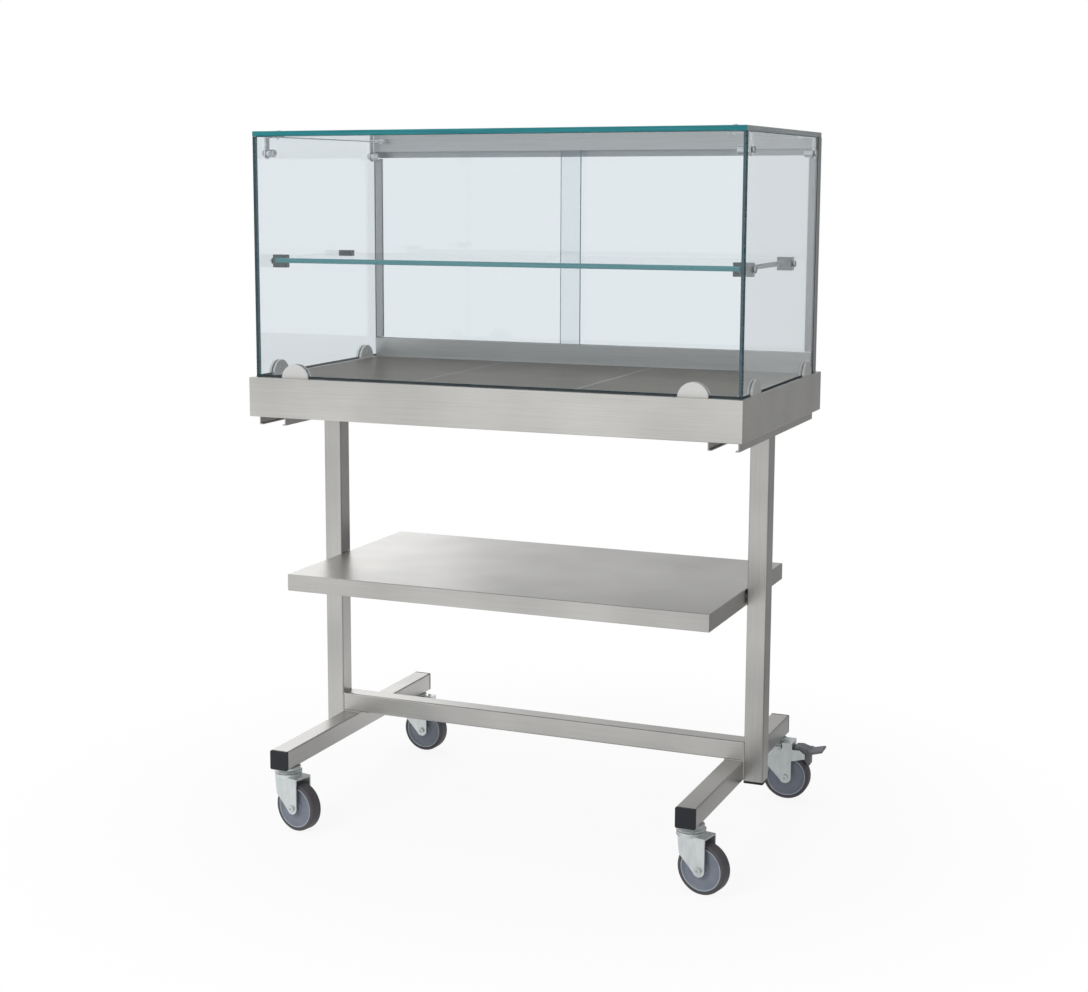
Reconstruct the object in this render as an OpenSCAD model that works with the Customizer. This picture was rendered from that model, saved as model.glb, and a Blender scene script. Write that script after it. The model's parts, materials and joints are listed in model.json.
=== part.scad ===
// Heated display cart.
// A glass case on a heated base, carried by two posts on a wheeled frame with a shelf between the posts.
// Sizes are in mm. X runs to the right, Y to the back and Z up. The origin is on the floor, below the
// middle of the heated base.

/* [Heated base] */
// Width of the base
base_w = 1032; // [940:2:1160]
// Depth of the base, front to back
base_d = 580; // [540:2:640]
// Height of the deck above the floor
deck_z = 932; // [840:2:1060]
// Height of the apron
apron_h = 80; // [70:1:110]
// Sheet thickness of the apron and its border
apron_t = 2; // [1.5:0.1:3]
// Distance from the front pane to the deck plates
deck_front_gap = 15; // [12:0.5:30]
// Distance from the side panes to the deck plates
deck_side_gap = 14; // [13:0.5:30]
// Distance from the door track to the deck plates
deck_rear_gap = 10; // [4:0.5:30]
// Thickness of the deck plates
plate_t = 4; // [3:0.5:5]
// Seam between the deck plates, and around them
plate_gap = 1; // [0.4:0.1:1.5]
// Width of the middle deck plate
middle_plate_w = 338; // [240:1:460]
// Width of the ledge that the deck plates rest on
ledge_w = 12; // [8:1:14]
// Thickness of the heating mats under the plates
mat_t = 2; // [1:0.1:3]
// Distance from the ledge to the heating mats
mat_margin = 4; // [2:1:20]
// Thickness of the insulation board
insulation_t = 30; // [15:1:34]
// Sheet thickness of the bottom pan
pan_t = 2; // [1.5:0.1:3]
// Height of the pan's upturned rim
pan_rim_h = 15; // [8:1:16]

/* [Channels and posts] */
// Width of the lipped channels under the base
channel_w = 60; // [58:1:72]
// Height of the lipped channels
channel_h = 18; // [16:1:26]
// Sheet thickness of the lipped channels
channel_t = 2; // [1.5:0.1:2.5]
// Clearance between a post and the channel's lips
lip_play = 3; // [1:0.5:5]
// Distance from a channel's end to the apron
channel_inset = 20; // [10:1:60]
// Thickness of the plates on the heads of the posts
head_t = 4; // [3:0.5:6]
// Length of the head plates, front to back
head_len = 120; // [110:2:160]
// Distance of the head bolts from a post's middle
head_bolt_y = 45; // [35:1:50]
// Clearance between a head plate and the channel's sides
head_play = 0.5; // [0.2:0.1:1.5]

/* [Frame] */
// Outer width of the square tubes
tube = 40; // [38:1:44]
// Wall of the square tubes
tube_t = 2; // [1.5:0.1:3]
// Outer corner radius of the square tubes
tube_r = 3; // [2:0.5:4]
// Distance from a post to the side of the base
post_inset = 22; // [18:1:80]
// Length of the feet with their caps
foot_len = 676; // [600:2:760]
// Thickness of the tube caps outside the tubes
cap_t = 5; // [3:0.5:5]
// How far the tube caps reach into the tubes
cap_plug = 12; // [8:1:15]
// Clearance of the tube caps in the tubes
cap_play = 0.2; // [0.1:0.1:0.5]
// Height of the middle shelf's top above the floor
mid_shelf_z = 525; // [400:5:640]
// Depth of the middle shelf
mid_shelf_d = 520; // [360:5:600]
// Height of the middle shelf's turned-down edge
mid_shelf_edge = 35; // [32:1:50]
// Sheet thickness of the middle shelf
mid_shelf_t = 2; // [1.5:0.1:2.5]
// Width of the return fold under the middle shelf's edge
mid_shelf_return = 12; // [6:1:16]
// Gap between the middle shelf and the posts
mid_shelf_gap = 2.5; // [1.5:0.5:4]
// Leg length of the angles under the middle shelf
angle_leg = 25; // [22:1:28]
// Thickness of the angles
angle_t = 3; // [2:0.5:4]
// Length of the angles, front to back
angle_len = 260; // [150:5:380]
// Distance of the shelf bolts from a post's middle
shelf_bolt_y = 9; // [8.5:0.5:9.5]

/* [Bolts] */
// Radius of the frame bolts
bolt_r = 4; // [3:0.5:4]
// Extra radius of the holes that the frame bolts pass
bolt_play = 0.5; // [0.2:0.1:0.8]
// Thread clearance between a frame bolt and its nut
thread_play = 0.05; // [0.03:0.01:0.1]
// Radius across the corners of heads and nuts
bolt_head_r = 7.5; // [7:0.1:7.6]
// Height of heads and nuts
bolt_head_h = 5.3; // [4:0.1:6]

/* [Glass case] */
// Ledge of the base beside the glass case
case_side_ledge = 8; // [8:0.5:20]
// Ledge of the base in front of the glass case and behind it
case_ledge = 17; // [14:0.5:30]
// Height from the deck to the top of the top pane
case_h = 490; // [420:5:600]
// Thickness of the top pane
top_t = 10; // [8:1:12]
// Thickness of the front and side panes
pane_t = 8; // [6:1:8]
// Height of the dark seals under the panes
seal_h = 3; // [2:0.5:4]
// Thickness of the glass shelf
glass_shelf_t = 10; // [8:1:12]
// Depth of the glass shelf
glass_shelf_d = 343; // [240:1:400]
// Height of the glass shelf's underside above the deck
glass_shelf_rise = 228; // [160:2:280]
// Distance from the front pane to the glass shelf
glass_shelf_back = 40; // [20:1:60]
// Gap between the glass shelf and each side pane
glass_shelf_gap = 14; // [8:0.5:18]

/* [Doors] */
// Thickness of the doors
door_t = 6; // [5:0.5:7]
// Width of the left door, which is the inner one
left_door_w = 493; // [440:1:560]
// Overlap of the closed doors
door_overlap = 50; // [20:1:90]
// Gap between a closed door and its jamb
door_end_gap = 0.5; // [0.4:0.1:2]
// Gap between the doors and the floor of their grooves
door_lift_gap = 0.4; // [0.3:0.1:1]
// How far the doors' tops stay below the header's web
door_top_gap = 8; // [4:1:10]
// Width of the door pulls
pull_w = 16; // [12:1:24]
// Wall of the door pulls
pull_t = 1.5; // [1:0.1:1.8]
// Clearance above and below the door pulls
pull_gap = 2; // [1:0.5:6]
// Height of the bottom track
track_h = 41; // [30:1:50]
// Depth of the track's grooves
groove_h = 12; // [8:1:16]
// Width of the grooves that the doors run in
groove_w = 10; // [9.6:0.1:12]
// Thickness of the walls between the grooves
rib_t = 2; // [1.5:0.1:2.5]
// Distance from the case's rear edge to the rails
rail_back = 7; // [5:0.5:9]
// Height of the header's inner walls
header_h = 23; // [18:1:28]
// Height of the header's rear wall
header_rear_h = 36; // [30:1:44]
// Depth of the jamb profiles, front to back
jamb_d = 20; // [14:1:30]
// Wall of the jamb profiles
jamb_t = 1.5; // [1:0.1:2]
// Distance from the case's rear edge to the jambs
jamb_back = 3; // [1:0.5:5]

/* [Glass fittings] */
// Radius of the half-moon clamps
moon_r = 30; // [24:1:34]
// How far the centre of a half moon lies below the deck
moon_drop = 2; // [0:0.5:6]
// Thickness of a half moon's cheeks
moon_cheek = 5; // [4:0.5:5.5]
// Distance of the front half moons from the sides of the case
moon_side = 91.5; // [50:0.5:200]
// Distance of the side half moons from the front and rear of the case
moon_end = 83; // [60:1:140]
// Radius of the half moons' screws
moon_screw_r = 3; // [2:0.5:3.5]
// Distance of the front corner brackets from the front edge of the top pane
corner_front = 44; // [36:1:80]
// Distance of the rear corner brackets from the door header
corner_rear = 14; // [12.5:0.5:60]
// Width of a corner bracket's strip
corner_w = 15; // [12:1:18]
// Thickness of a corner bracket's strip
corner_t = 3; // [2:0.5:4]
// Length of a corner bracket under the top pane
corner_reach = 37; // [34:1:50]
// Radius of a corner bracket's round pad
corner_pad_r = 11.5; // [10:0.5:12]
// How far the pad's centre lies below the top pane
corner_drop = 33; // [28:1:45]
// Distance of the dome screws from the side panes
dome_x = 27; // [24:1:30]
// Radius of the dome heads
dome_r = 8; // [6:0.5:9]
// Height of the dome heads
dome_h = 3; // [2:0.5:4]
// Radius of the studs through the glass
stud_r = 3; // [2:0.5:3.5]
// Extra radius of the holes in the glass
glass_play = 0.5; // [0.3:0.1:1]
// Radius of the knobs inside the side panes
knob_in_r = 8; // [6:0.5:9]
// Length of the knobs inside the side panes
knob_in_len = 17; // [10:1:20]
// Radius of the caps outside the side panes
stud_cap_r = 7; // [6:0.5:9]
// Thickness of the caps outside the side panes
stud_cap_t = 3; // [2:0.5:4]
// Reach of the shelf clamps from the side panes
shelf_clamp_x = 31; // [22:1:36]
// Width of the shelf clamps, front to back
shelf_clamp_w = 13; // [10:1:18]
// Jaw of the shelf clamps under the glass shelf
shelf_clamp_low = 10; // [8:0.5:14]
// Jaw of the shelf clamps over the glass shelf
shelf_clamp_high = 6; // [4:0.5:8]
// Distance of the front shelf clamps from the shelf's front edge
shelf_clamp_front = 21; // [12:1:60]
// Distance of the rear shelf clamps from the shelf's rear edge
shelf_clamp_rear = 40; // [10:1:80]
// Radius of the shelf clamps' outer caps
shelf_cap_r = 6.5; // [5:0.5:10]
// Thickness of the shelf clamps' outer caps
shelf_cap_t = 3; // [2:0.5:6]

/* [Castors] */
// Radius of the wheels
wheel_r = 50; // [44:0.5:56]
// Width of the tyres
wheel_w = 28.5; // [24:0.5:32]
// Distance from a castor's swivel axis to its wheel's axle
trail = 28; // [24:0.5:30]
// Distance of the swivel axes from the ends of the feet
castor_inset = 39; // [36:1:80]
// Thickness of the tyres
tyre_t = 7; // [6:0.5:12]
// Radius of the tyres' shoulders
tyre_shoulder = 5; // [2:0.5:6]
// Radius of the axles
axle_r = 4; // [3:0.5:5]
// Radius of the axles' heads
axle_head_r = 6.5; // [6:0.5:8]
// Running clearance of pins and axles, on the radius
run_play = 0.05; // [0.02:0.01:0.1]
// Radius of a hub's barrel
hub_r = 12; // [9:0.5:16]
// Thickness of a hub's rim
hub_rim_t = 6; // [4:0.5:9]
// Thickness of a hub's web
hub_web_t = 20; // [12:0.5:22]
// Gap between a tyre and the legs of its fork
fork_gap = 5.15; // [3:0.05:9]
// Sheet thickness of the forks
fork_t = 3; // [2:0.5:3.5]
// Gap between a tyre and the crown over it
wheel_gap = 10; // [8:0.5:14]
// Gap between moving faces of a castor
castor_gap = 0.4; // [0.3:0.1:0.7]
// Radius of the boss around the axle
boss_r = 12.5; // [11:0.5:13]
// Radius of the lower raceways
race_low_r = 28; // [24:0.5:29]
// Radius of the upper raceways
race_up_r = 29; // [26:0.5:29.5]
// Height of the lower raceways over the crowns
race_low_h = 5.3; // [4:0.1:6]
// Height of the upper raceways
race_up_h = 13; // [10:0.5:20]
// Gap between the raceways
race_gap = 0.7; // [0.4:0.1:1.2]
// Radius of the kingpins and stems
stem_r = 6; // [5:0.5:7]
// Height of the stems inside the feet
stem_h = 32; // [20:1:33]
// Radius of the kingpins' heads
pin_head_r = 10; // [9:0.5:11]
// Height of the kingpins' heads
pin_head_h = 4; // [3:0.5:5]
// Turn of the front left castor at rest, in degrees
front_left_turn = -13; // [-45:1:45]
// Turn of the front right castor at rest, in degrees
front_right_turn = -11; // [-45:1:45]
// Turn of the rear left castor at rest, in degrees
rear_left_turn = -4; // [-45:1:45]
// Turn of the rear right castor at rest, in degrees
rear_right_turn = 2; // [-45:1:45]

/* [Brakes] */
// Distance of a pedal's pivot behind the fork
pivot_back = 9.5; // [8:0.5:12]
// How far a pedal's pivot lies below the top of the crown
pivot_drop = 9; // [8:0.5:10]
// Radius of a pedal's pivot pin
pivot_r = 2.5; // [2:0.5:3]
// Sheet thickness of the brake cheeks
cheek_t = 2.5; // [2:0.5:3]
// Height of the brake housing over the crown
housing_h = 14; // [10:0.5:16]
// Distance from a pedal's pivot to its toe
pedal_len = 57.5; // [50:0.5:66]
// Width of a pedal's toe
pedal_w = 44; // [36:1:50]
// Gap between a pedal's arm and the brake cheeks
pedal_arm_gap = 2.9; // [1:0.1:4]
// Gap between a raised brake shoe and the tread
shoe_gap = 7; // [6.5:0.5:8.5]

/* [Controls] */
// Distance of the power inlet from the left side of the base
inlet_side = 66; // [40:1:100]
// Distance between the power inlet and the power switch
switch_pitch = 58; // [40:1:90]
// Distance between the power switch and the thermostat
thermostat_pitch = 62; // [46:1:110]
// Height of the controls above the rim of the pan
controls_rise = 25; // [24:1:30]
// Radius of the thermostat's knob
knob_r = 21; // [16:0.5:24]
// Height of the thermostat's knob
knob_h = 18; // [12:1:24]
// Radius of the thermostat's spindle
spindle_r = 3; // [2.5:0.5:4]
// Side of the thermostat's square body
thermostat_w = 44; // [36:1:46]
// Depth of the thermostat's body
thermostat_d = 32; // [20:1:36]
// Width of the power switch's opening
switch_w = 21; // [18:0.5:24]
// Height of the power switch's opening
switch_h = 29; // [26:0.5:32]
// Depth of the power switch behind the sheet
switch_d = 22; // [20:1:28]
// Tilt of the rocker at rest, in degrees
rocker_tilt = 8; // [5:0.5:9]
// Width of the power inlet's opening
inlet_w = 27; // [25:0.5:30]
// Height of the power inlet's opening
inlet_h = 20; // [18:0.5:24]
// Depth of the power inlet behind the sheet
inlet_d = 22; // [18:1:28]
// Rim of the switch and inlet outside the sheet
rim_w = 2.5; // [2:0.5:4]
// Thickness of that rim
rim_t = 2; // [1:0.5:3]

/* [Hidden] */
$fn = 64;
eps = 0.01;
far = 2000;

// Base
apron_z = deck_z - apron_h;
plate_z = deck_z - plate_t;
ledge_z = plate_z - apron_t;
seam_x = middle_plate_w / 2;
mat_inset = ledge_w + mat_margin;
insulation_top = min(ledge_z, plate_z - mat_t);
wall_y = base_d / 2 - apron_t;
controls_height = apron_z + pan_rim_h + controls_rise;
inlet_x = base_w / 2 - inlet_side;
switch_x = inlet_x - switch_pitch;
thermostat_x = switch_x - thermostat_pitch;
rocker_pin_r = 1.5;
rocker_pivot_y = base_d / 2 - 6;
rocker_w = switch_w - 5;
rocker_play = 0.5;

// Case, and the deck inside it
case_x = base_w / 2 - case_side_ledge;
case_y = base_d / 2 - case_ledge;
top_z = deck_z + case_h;
pane_top_z = top_z - top_t;
pane_z = deck_z + seal_h;
pane_in_x = case_x - pane_t;
pane_in_y = -case_y + pane_t;
deck_x = pane_in_x - deck_side_gap;
deck_front = pane_in_y + deck_front_gap;
moon_x = case_x - moon_side;
moon_y = case_y - moon_end;
glass_shelf_z = deck_z + glass_shelf_rise;
glass_shelf_x = pane_in_x - glass_shelf_gap;
glass_shelf_front = pane_in_y + glass_shelf_back;
glass_shelf_rear = glass_shelf_front + glass_shelf_d;
shelf_clamp_ys = [glass_shelf_front + shelf_clamp_front, glass_shelf_rear - shelf_clamp_rear];
shelf_clamp_z = glass_shelf_z - shelf_clamp_low;
shelf_clamp_h = shelf_clamp_low + glass_shelf_t + shelf_clamp_high;
shelf_stud_z = shelf_clamp_z + shelf_clamp_h / 2;
corner_z = pane_top_z - corner_drop;
dome_sphere_r = (dome_r * dome_r + dome_h * dome_h) / (2 * dome_h);

// Door rails. The inner groove lies towards the front and carries the left door.
rail_rear = case_y - rail_back;
rail_front = rail_rear - 2 * groove_w - 3 * rib_t;
corner_ys = [-case_y + corner_front, rail_front - corner_rear];
deck_rear = rail_front - deck_rear_gap;
inner_groove_y = rail_front + rib_t;
outer_groove_y = inner_groove_y + groove_w + rib_t;
inner_door_y = inner_groove_y + (groove_w - door_t) / 2;
outer_door_y = outer_groove_y + (groove_w - door_t) / 2;
jamb_rear = case_y - jamb_back;
jamb_in_x = pane_in_x - jamb_t;
jamb_web_t = 2;
rail_floor_z = deck_z + track_h - groove_h;
door_z = rail_floor_z + door_lift_gap;
door_top = pane_top_z - rib_t - door_top_gap;
pull_z = deck_z + track_h + pull_gap;
pull_top = pane_top_z - header_rear_h - pull_gap;
door_edge_x = jamb_in_x - door_end_gap;
right_door_w = 2 * door_edge_x - left_door_w + door_overlap;

// Castors. In a castor's own directions, u runs from the swivel axis to the wheel and w across the fork.
castor_y = foot_len / 2 - castor_inset;
fork_in = wheel_w / 2 + fork_gap;
fork_half = fork_in + fork_t;
crown_low_z = 2 * wheel_r + wheel_gap;
crown_z = crown_low_z + fork_t;
race_low_z = crown_z + race_low_h;
race_up_z = race_low_z + race_gap;
castor_h = race_up_z + race_up_h;
foot_top = castor_h + tube;
fork_tail_u = trail + boss_r;
pivot_u = fork_tail_u + pivot_back;
pivot_z = crown_z - pivot_drop;
cheek_in = fork_half - cheek_t;
barrel_r = 5;
shoe_u = 17;
toe_u = 26;
weld_nut_r = 10;
weld_nut_h = 12;
foot_stem_play = 0.05;

// Frame
post_gap = base_w - 2 * (post_inset + tube);
post_x = post_gap / 2 + tube / 2;
foot_x = post_gap / 2 - tube / 2;
foot_y = foot_len / 2 - cap_t;
channel_y = base_d / 2 - channel_inset;
channel_z = apron_z - channel_h;
channel_lip = (channel_w - tube) / 2 - channel_t - lip_play;
head_z = apron_z - channel_t - head_t;
mid_shelf_x = post_gap / 2 - mid_shelf_gap;
shelf_bolt_z = mid_shelf_z - mid_shelf_t - (angle_leg + angle_t) / 2;
washer_r = bolt_head_r + 0.5;

CASTORS = [
    [-1, -1, front_left_turn],
    [1, -1, front_right_turn],
    [-1, 1, rear_left_turn],
    [1, 1, rear_right_turn]
];
FRONT_LEFT = 0;
FRONT_RIGHT = 1;
REAR_LEFT = 2;
REAR_RIGHT = 3;

// Shared shapes

// A box given by its lowest and highest corners
module span(low, high) {
    translate(low) cube(high - low);
}

// The children and their mirror image on the left
module both_sides() {
    children();
    mirror([1, 0, 0]) children();
}

// A square outline with round corners
module round_square(side, r) {
    square([side, side - 2 * r], center = true);
    square([side - 2 * r, side], center = true);
    for (sx = [-1, 1])
        for (sy = [-1, 1])
            translate([sx * (side / 2 - r), sy * (side / 2 - r)]) circle(r);
}

// The cut of a square tube
module tube_outline() {
    difference() {
        round_square(tube, tube_r);
        square(tube - 2 * tube_t, center = true);
    }
}

// A hexagonal bolt along Z: its head ends at z = 0 and its shank runs up
module hex_bolt(shank) {
    translate([0, 0, -bolt_head_h]) cylinder(r = bolt_head_r, h = bolt_head_h, $fn = 6);
    translate([0, 0, -1]) cylinder(r = bolt_r, h = shank + 1);
}

// A hexagonal nut that sits on z = 0
module hex_nut() {
    difference() {
        cylinder(r = bolt_head_r, h = bolt_head_h, $fn = 6);
        translate([0, 0, -1]) cylinder(r = bolt_r + thread_play, h = bolt_head_h + 2);
    }
}

// Turns an outline in (x, z) into a slab that reaches from y = from to y = to
module slab_y(from, to) {
    translate([0, to, 0]) rotate([90, 0, 0]) linear_extrude(to - from) children();
}

// Turns an outline in (y, z) into a slab that reaches from x = from to x = to
module slab_x(from, to) {
    translate([from, 0, 0]) rotate([90, 0, 90]) linear_extrude(to - from) children();
}

// Frame

module foot() {
    difference() {
        union() {
            translate([foot_x, foot_y, castor_h + tube / 2]) rotate([90, 0, 0])
                linear_extrude(2 * foot_y) tube_outline();
            for (sy = [-1, 1])
                translate([foot_x, sy * castor_y, castor_h + tube_t - eps])
                    cylinder(r = weld_nut_r, h = weld_nut_h);
        }
        for (sy = [-1, 1])
            translate([foot_x, sy * castor_y, castor_h - 1])
                cylinder(r = stem_r + foot_stem_play, h = weld_nut_h + tube_t + 2);
    }
}

module post() {
    difference() {
        translate([post_x, 0, castor_h]) linear_extrude(head_z - castor_h) tube_outline();
        for (sy = [-1, 1])
            translate([post_gap / 2 - 1, sy * shelf_bolt_y, shelf_bolt_z]) rotate([0, 90, 0])
                cylinder(r = bolt_r + bolt_play, h = tube_t + 2);
    }
}

module left_foot() {
    color("darkgray") mirror([1, 0, 0]) foot();
}

module right_foot() {
    color("darkgray") foot();
}

module left_post() {
    color("silver") mirror([1, 0, 0]) post();
}

module right_post() {
    color("silver") post();
}

module stretcher() {
    color("gray") translate([-post_gap / 2, 0, foot_top + tube / 2]) rotate([90, 0, 90])
        linear_extrude(post_gap) tube_outline();
}

// A cap that closes a tube's end at z = 0, with its plug above
module tube_cap() {
    plug_w = tube - 2 * tube_t - 2 * cap_play;
    translate([0, 0, -cap_t]) linear_extrude(cap_t) round_square(tube, tube_r);
    translate([-plug_w / 2, -plug_w / 2, -eps]) cube([plug_w, plug_w, cap_plug + eps]);
}

module tube_end_caps() {
    color("#23252F") both_sides() {
        translate([post_x, 0, castor_h]) tube_cap();
        for (sy = [-1, 1])
            translate([foot_x, sy * foot_y, castor_h + tube / 2]) rotate([sy * 90, 0, 0]) tube_cap();
    }
}

module post_head_plates() {
    head_w = channel_w - 2 * channel_t - 2 * head_play;
    color("dimgray") both_sides() difference() {
        translate([post_x - head_w / 2, -head_len / 2, head_z]) cube([head_w, head_len, head_t]);
        for (sy = [-1, 1])
            translate([post_x, sy * head_bolt_y, head_z - 1])
                cylinder(r = bolt_r + bolt_play, h = head_t + 2);
    }
}

module mid_shelf() {
    x = mid_shelf_x;
    y = mid_shelf_d / 2;
    t = mid_shelf_t;
    low = mid_shelf_z - mid_shelf_edge;
    color("lightgray") difference() {
        span([-x, -y, low], [x, y, mid_shelf_z]);
        span([t - x, t - y, low + t], [x - t, y - t, mid_shelf_z - t]);
        span([mid_shelf_return - x, mid_shelf_return - y, low - 1],
             [x - mid_shelf_return, y - mid_shelf_return, low + t + 1]);
        for (sx = [-1, 1])
            for (sy = [-1, 1])
                translate([sx * (x - t / 2) - 2 * t, sy * shelf_bolt_y, shelf_bolt_z])
                    rotate([0, 90, 0]) cylinder(r = bolt_r + bolt_play, h = 4 * t);
    }
}

module mid_shelf_angles() {
    x = mid_shelf_x - mid_shelf_t;
    z = mid_shelf_z - mid_shelf_t;
    color("slategray") both_sides() difference() {
        union() {
            span([x - angle_t, -angle_len / 2, z - angle_leg], [x, angle_len / 2, z]);
            span([x - angle_leg, -angle_len / 2, z - angle_t], [x, angle_len / 2, z]);
        }
        for (sy = [-1, 1])
            translate([x - angle_t - 1, sy * shelf_bolt_y, shelf_bolt_z]) rotate([0, 90, 0])
                cylinder(r = bolt_r + bolt_play, h = angle_t + 2);
    }
}

// Bolts and nuts of the head plates, and bolts, washers and nuts of the middle shelf
module frame_bolts() {
    shelf_grip = angle_t + mid_shelf_t + mid_shelf_gap + tube_t;
    shelf_x = mid_shelf_x - mid_shelf_t - angle_t;
    both_sides() for (sy = [-1, 1]) {
        translate([post_x, sy * head_bolt_y, head_z])
            hex_bolt(head_t + channel_t + pan_t + bolt_head_h + 2);
        translate([post_x, sy * head_bolt_y, apron_z + pan_t]) hex_nut();
        translate([shelf_x, sy * shelf_bolt_y, shelf_bolt_z]) rotate([0, 90, 0])
            hex_bolt(shelf_grip + bolt_head_h + 2);
        translate([post_gap / 2 + tube_t, sy * shelf_bolt_y, shelf_bolt_z]) rotate([0, 90, 0])
            hex_nut();
        translate([mid_shelf_x, sy * shelf_bolt_y, shelf_bolt_z]) rotate([0, 90, 0]) difference() {
            cylinder(r = washer_r, h = mid_shelf_gap);
            translate([0, 0, -1]) cylinder(r = bolt_r + thread_play, h = mid_shelf_gap + 2);
        }
    }
}

// Heated base

// The sheet around the deck plates with the ledge below it and the bars under the seams
module deck_rim() {
    x = deck_x + plate_gap;
    front = deck_front - plate_gap;
    rear = deck_rear + plate_gap;
    difference() {
        span([-x - apron_t, front - apron_t, ledge_z], [x + apron_t, rear + apron_t, deck_z]);
        span([-x, front, plate_z], [x, rear, deck_z + 1]);
        span([ledge_w - x, front + ledge_w, ledge_z - 1], [x - ledge_w, rear - ledge_w, deck_z]);
    }
    for (sx = [-1, 1])
        span([sx * (seam_x + plate_gap / 2) - ledge_w, front + ledge_w - eps, ledge_z],
             [sx * (seam_x + plate_gap / 2) + ledge_w, rear - ledge_w + eps, plate_z]);
}

module half_moon_screw_holes() {
    for (place = HALF_MOONS)
        translate([place[0], place[1], deck_z - 2 * apron_t])
            cylinder(r = moon_screw_r + bolt_play, h = 3 * apron_t);
}

module base_shell() {
    x = base_w / 2;
    y = base_d / 2;
    t = apron_t;
    color("gainsboro") difference() {
        union() {
            difference() {
                span([-x, -y, apron_z], [x, y, deck_z]);
                span([t - x, t - y, apron_z - 1], [x - t, y - t, deck_z - t]);
                span([-deck_x - plate_gap, deck_front - plate_gap, deck_z - t - 1],
                     [deck_x + plate_gap, deck_rear + plate_gap, deck_z + 1]);
            }
            deck_rim();
        }
        half_moon_screw_holes();
        translate([-thermostat_x, wall_y - 1, controls_height]) rotate([-90, 0, 0])
            cylinder(r = spindle_r + 2 + bolt_play, h = t + 2);
        span([-switch_x - switch_w / 2, wall_y - 1, controls_height - switch_h / 2],
             [-switch_x + switch_w / 2, y + 1, controls_height + switch_h / 2]);
        span([-inlet_x - inlet_w / 2, wall_y - 1, controls_height - inlet_h / 2],
             [-inlet_x + inlet_w / 2, y + 1, controls_height + inlet_h / 2]);
    }
}

module left_deck_plate() {
    color("#3A2C26") span([-deck_x, deck_front, plate_z], [-seam_x - plate_gap, deck_rear, deck_z]);
}

module middle_deck_plate() {
    color("#44342C") span([-seam_x, deck_front, plate_z], [seam_x, deck_rear, deck_z]);
}

module right_deck_plate() {
    color("#3A2C26") span([seam_x + plate_gap, deck_front, plate_z], [deck_x, deck_rear, deck_z]);
}

module heating_mats() {
    z = plate_z - mat_t;
    front = deck_front + mat_inset;
    rear = deck_rear - mat_inset;
    color("orangered") {
        span([-seam_x + mat_inset, front, z], [seam_x - mat_inset, rear, plate_z]);
        both_sides()
            span([seam_x + plate_gap + mat_inset, front, z], [deck_x - mat_inset, rear, plate_z]);
    }
}

module insulation_board() {
    color("khaki")
        span([mat_inset - deck_x, deck_front + mat_inset, insulation_top - insulation_t],
             [deck_x - mat_inset, deck_rear - mat_inset, insulation_top]);
}

module bottom_pan() {
    x = base_w / 2 - apron_t;
    y = wall_y;
    color("darkslategray") difference() {
        span([-x, -y, apron_z], [x, y, apron_z + pan_rim_h]);
        span([pan_t - x, pan_t - y, apron_z + pan_t], [x - pan_t, y - pan_t, deck_z]);
        for (sx = [-1, 1])
            for (sy = [-1, 1])
                translate([sx * post_x, sy * head_bolt_y, apron_z - 1])
                    cylinder(r = bolt_r + bolt_play, h = pan_t + 2);
    }
}

module lipped_channel() {
    half = channel_w / 2;
    color("darkgray") difference() {
        span([post_x - half, -channel_y, channel_z], [post_x + half, channel_y, apron_z]);
        span([post_x - half + channel_t, -channel_y - 1, channel_z + channel_t],
             [post_x + half - channel_t, channel_y + 1, apron_z - channel_t]);
        span([post_x - half + channel_t + channel_lip, -channel_y - 1, channel_z - 1],
             [post_x + half - channel_t - channel_lip, channel_y + 1, apron_z - channel_t]);
        for (sy = [-1, 1])
            translate([post_x, sy * head_bolt_y, apron_z - channel_t - 1])
                cylinder(r = bolt_r + bolt_play, h = channel_t + 2);
    }
}

module left_channel() {
    mirror([1, 0, 0]) lipped_channel();
}

module right_channel() {
    lipped_channel();
}

// Glass case

module top_pane() {
    color("#9FCFD2") difference() {
        span([-case_x, -case_y, pane_top_z], [case_x, case_y, top_z]);
        for (sx = [-1, 1])
            for (y = corner_ys)
                translate([sx * (pane_in_x - dome_x), y, pane_top_z - 1])
                    cylinder(r = stud_r + glass_play, h = top_t + 2);
    }
}

module front_pane() {
    color("#A9D8DB") span([-case_x, -case_y, pane_z], [case_x, pane_in_y, pane_top_z]);
}

module side_pane() {
    color("#A9D8DB") difference() {
        span([pane_in_x, pane_in_y, pane_z], [case_x, jamb_rear - jamb_web_t, pane_top_z]);
        for (y = corner_ys)
            translate([pane_in_x - 1, y, corner_z]) rotate([0, 90, 0])
                cylinder(r = stud_r + glass_play, h = pane_t + 2);
        for (y = shelf_clamp_ys)
            translate([pane_in_x - 1, y, shelf_stud_z]) rotate([0, 90, 0])
                cylinder(r = stud_r + glass_play, h = pane_t + 2);
    }
}

module left_pane() {
    mirror([1, 0, 0]) side_pane();
}

module right_pane() {
    side_pane();
}

module glass_shelf() {
    color("#7FBFC4")
        span([-glass_shelf_x, glass_shelf_front, glass_shelf_z],
             [glass_shelf_x, glass_shelf_rear, glass_shelf_z + glass_shelf_t]);
}

// Half moons: place of the clamp's middle, and 90 where the pane runs front to back
HALF_MOONS = [
    [-moon_x, -case_y + pane_t / 2, 0],
    [moon_x, -case_y + pane_t / 2, 0],
    [-case_x + pane_t / 2, -moon_y, 90],
    [-case_x + pane_t / 2, moon_y, 90],
    [case_x - pane_t / 2, -moon_y, 90],
    [case_x - pane_t / 2, moon_y, 90]
];

module half_moon_outline() {
    intersection() {
        translate([0, deck_z - moon_drop]) circle(moon_r);
        translate([-moon_r, deck_z]) square([2 * moon_r, moon_r]);
    }
}

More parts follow.
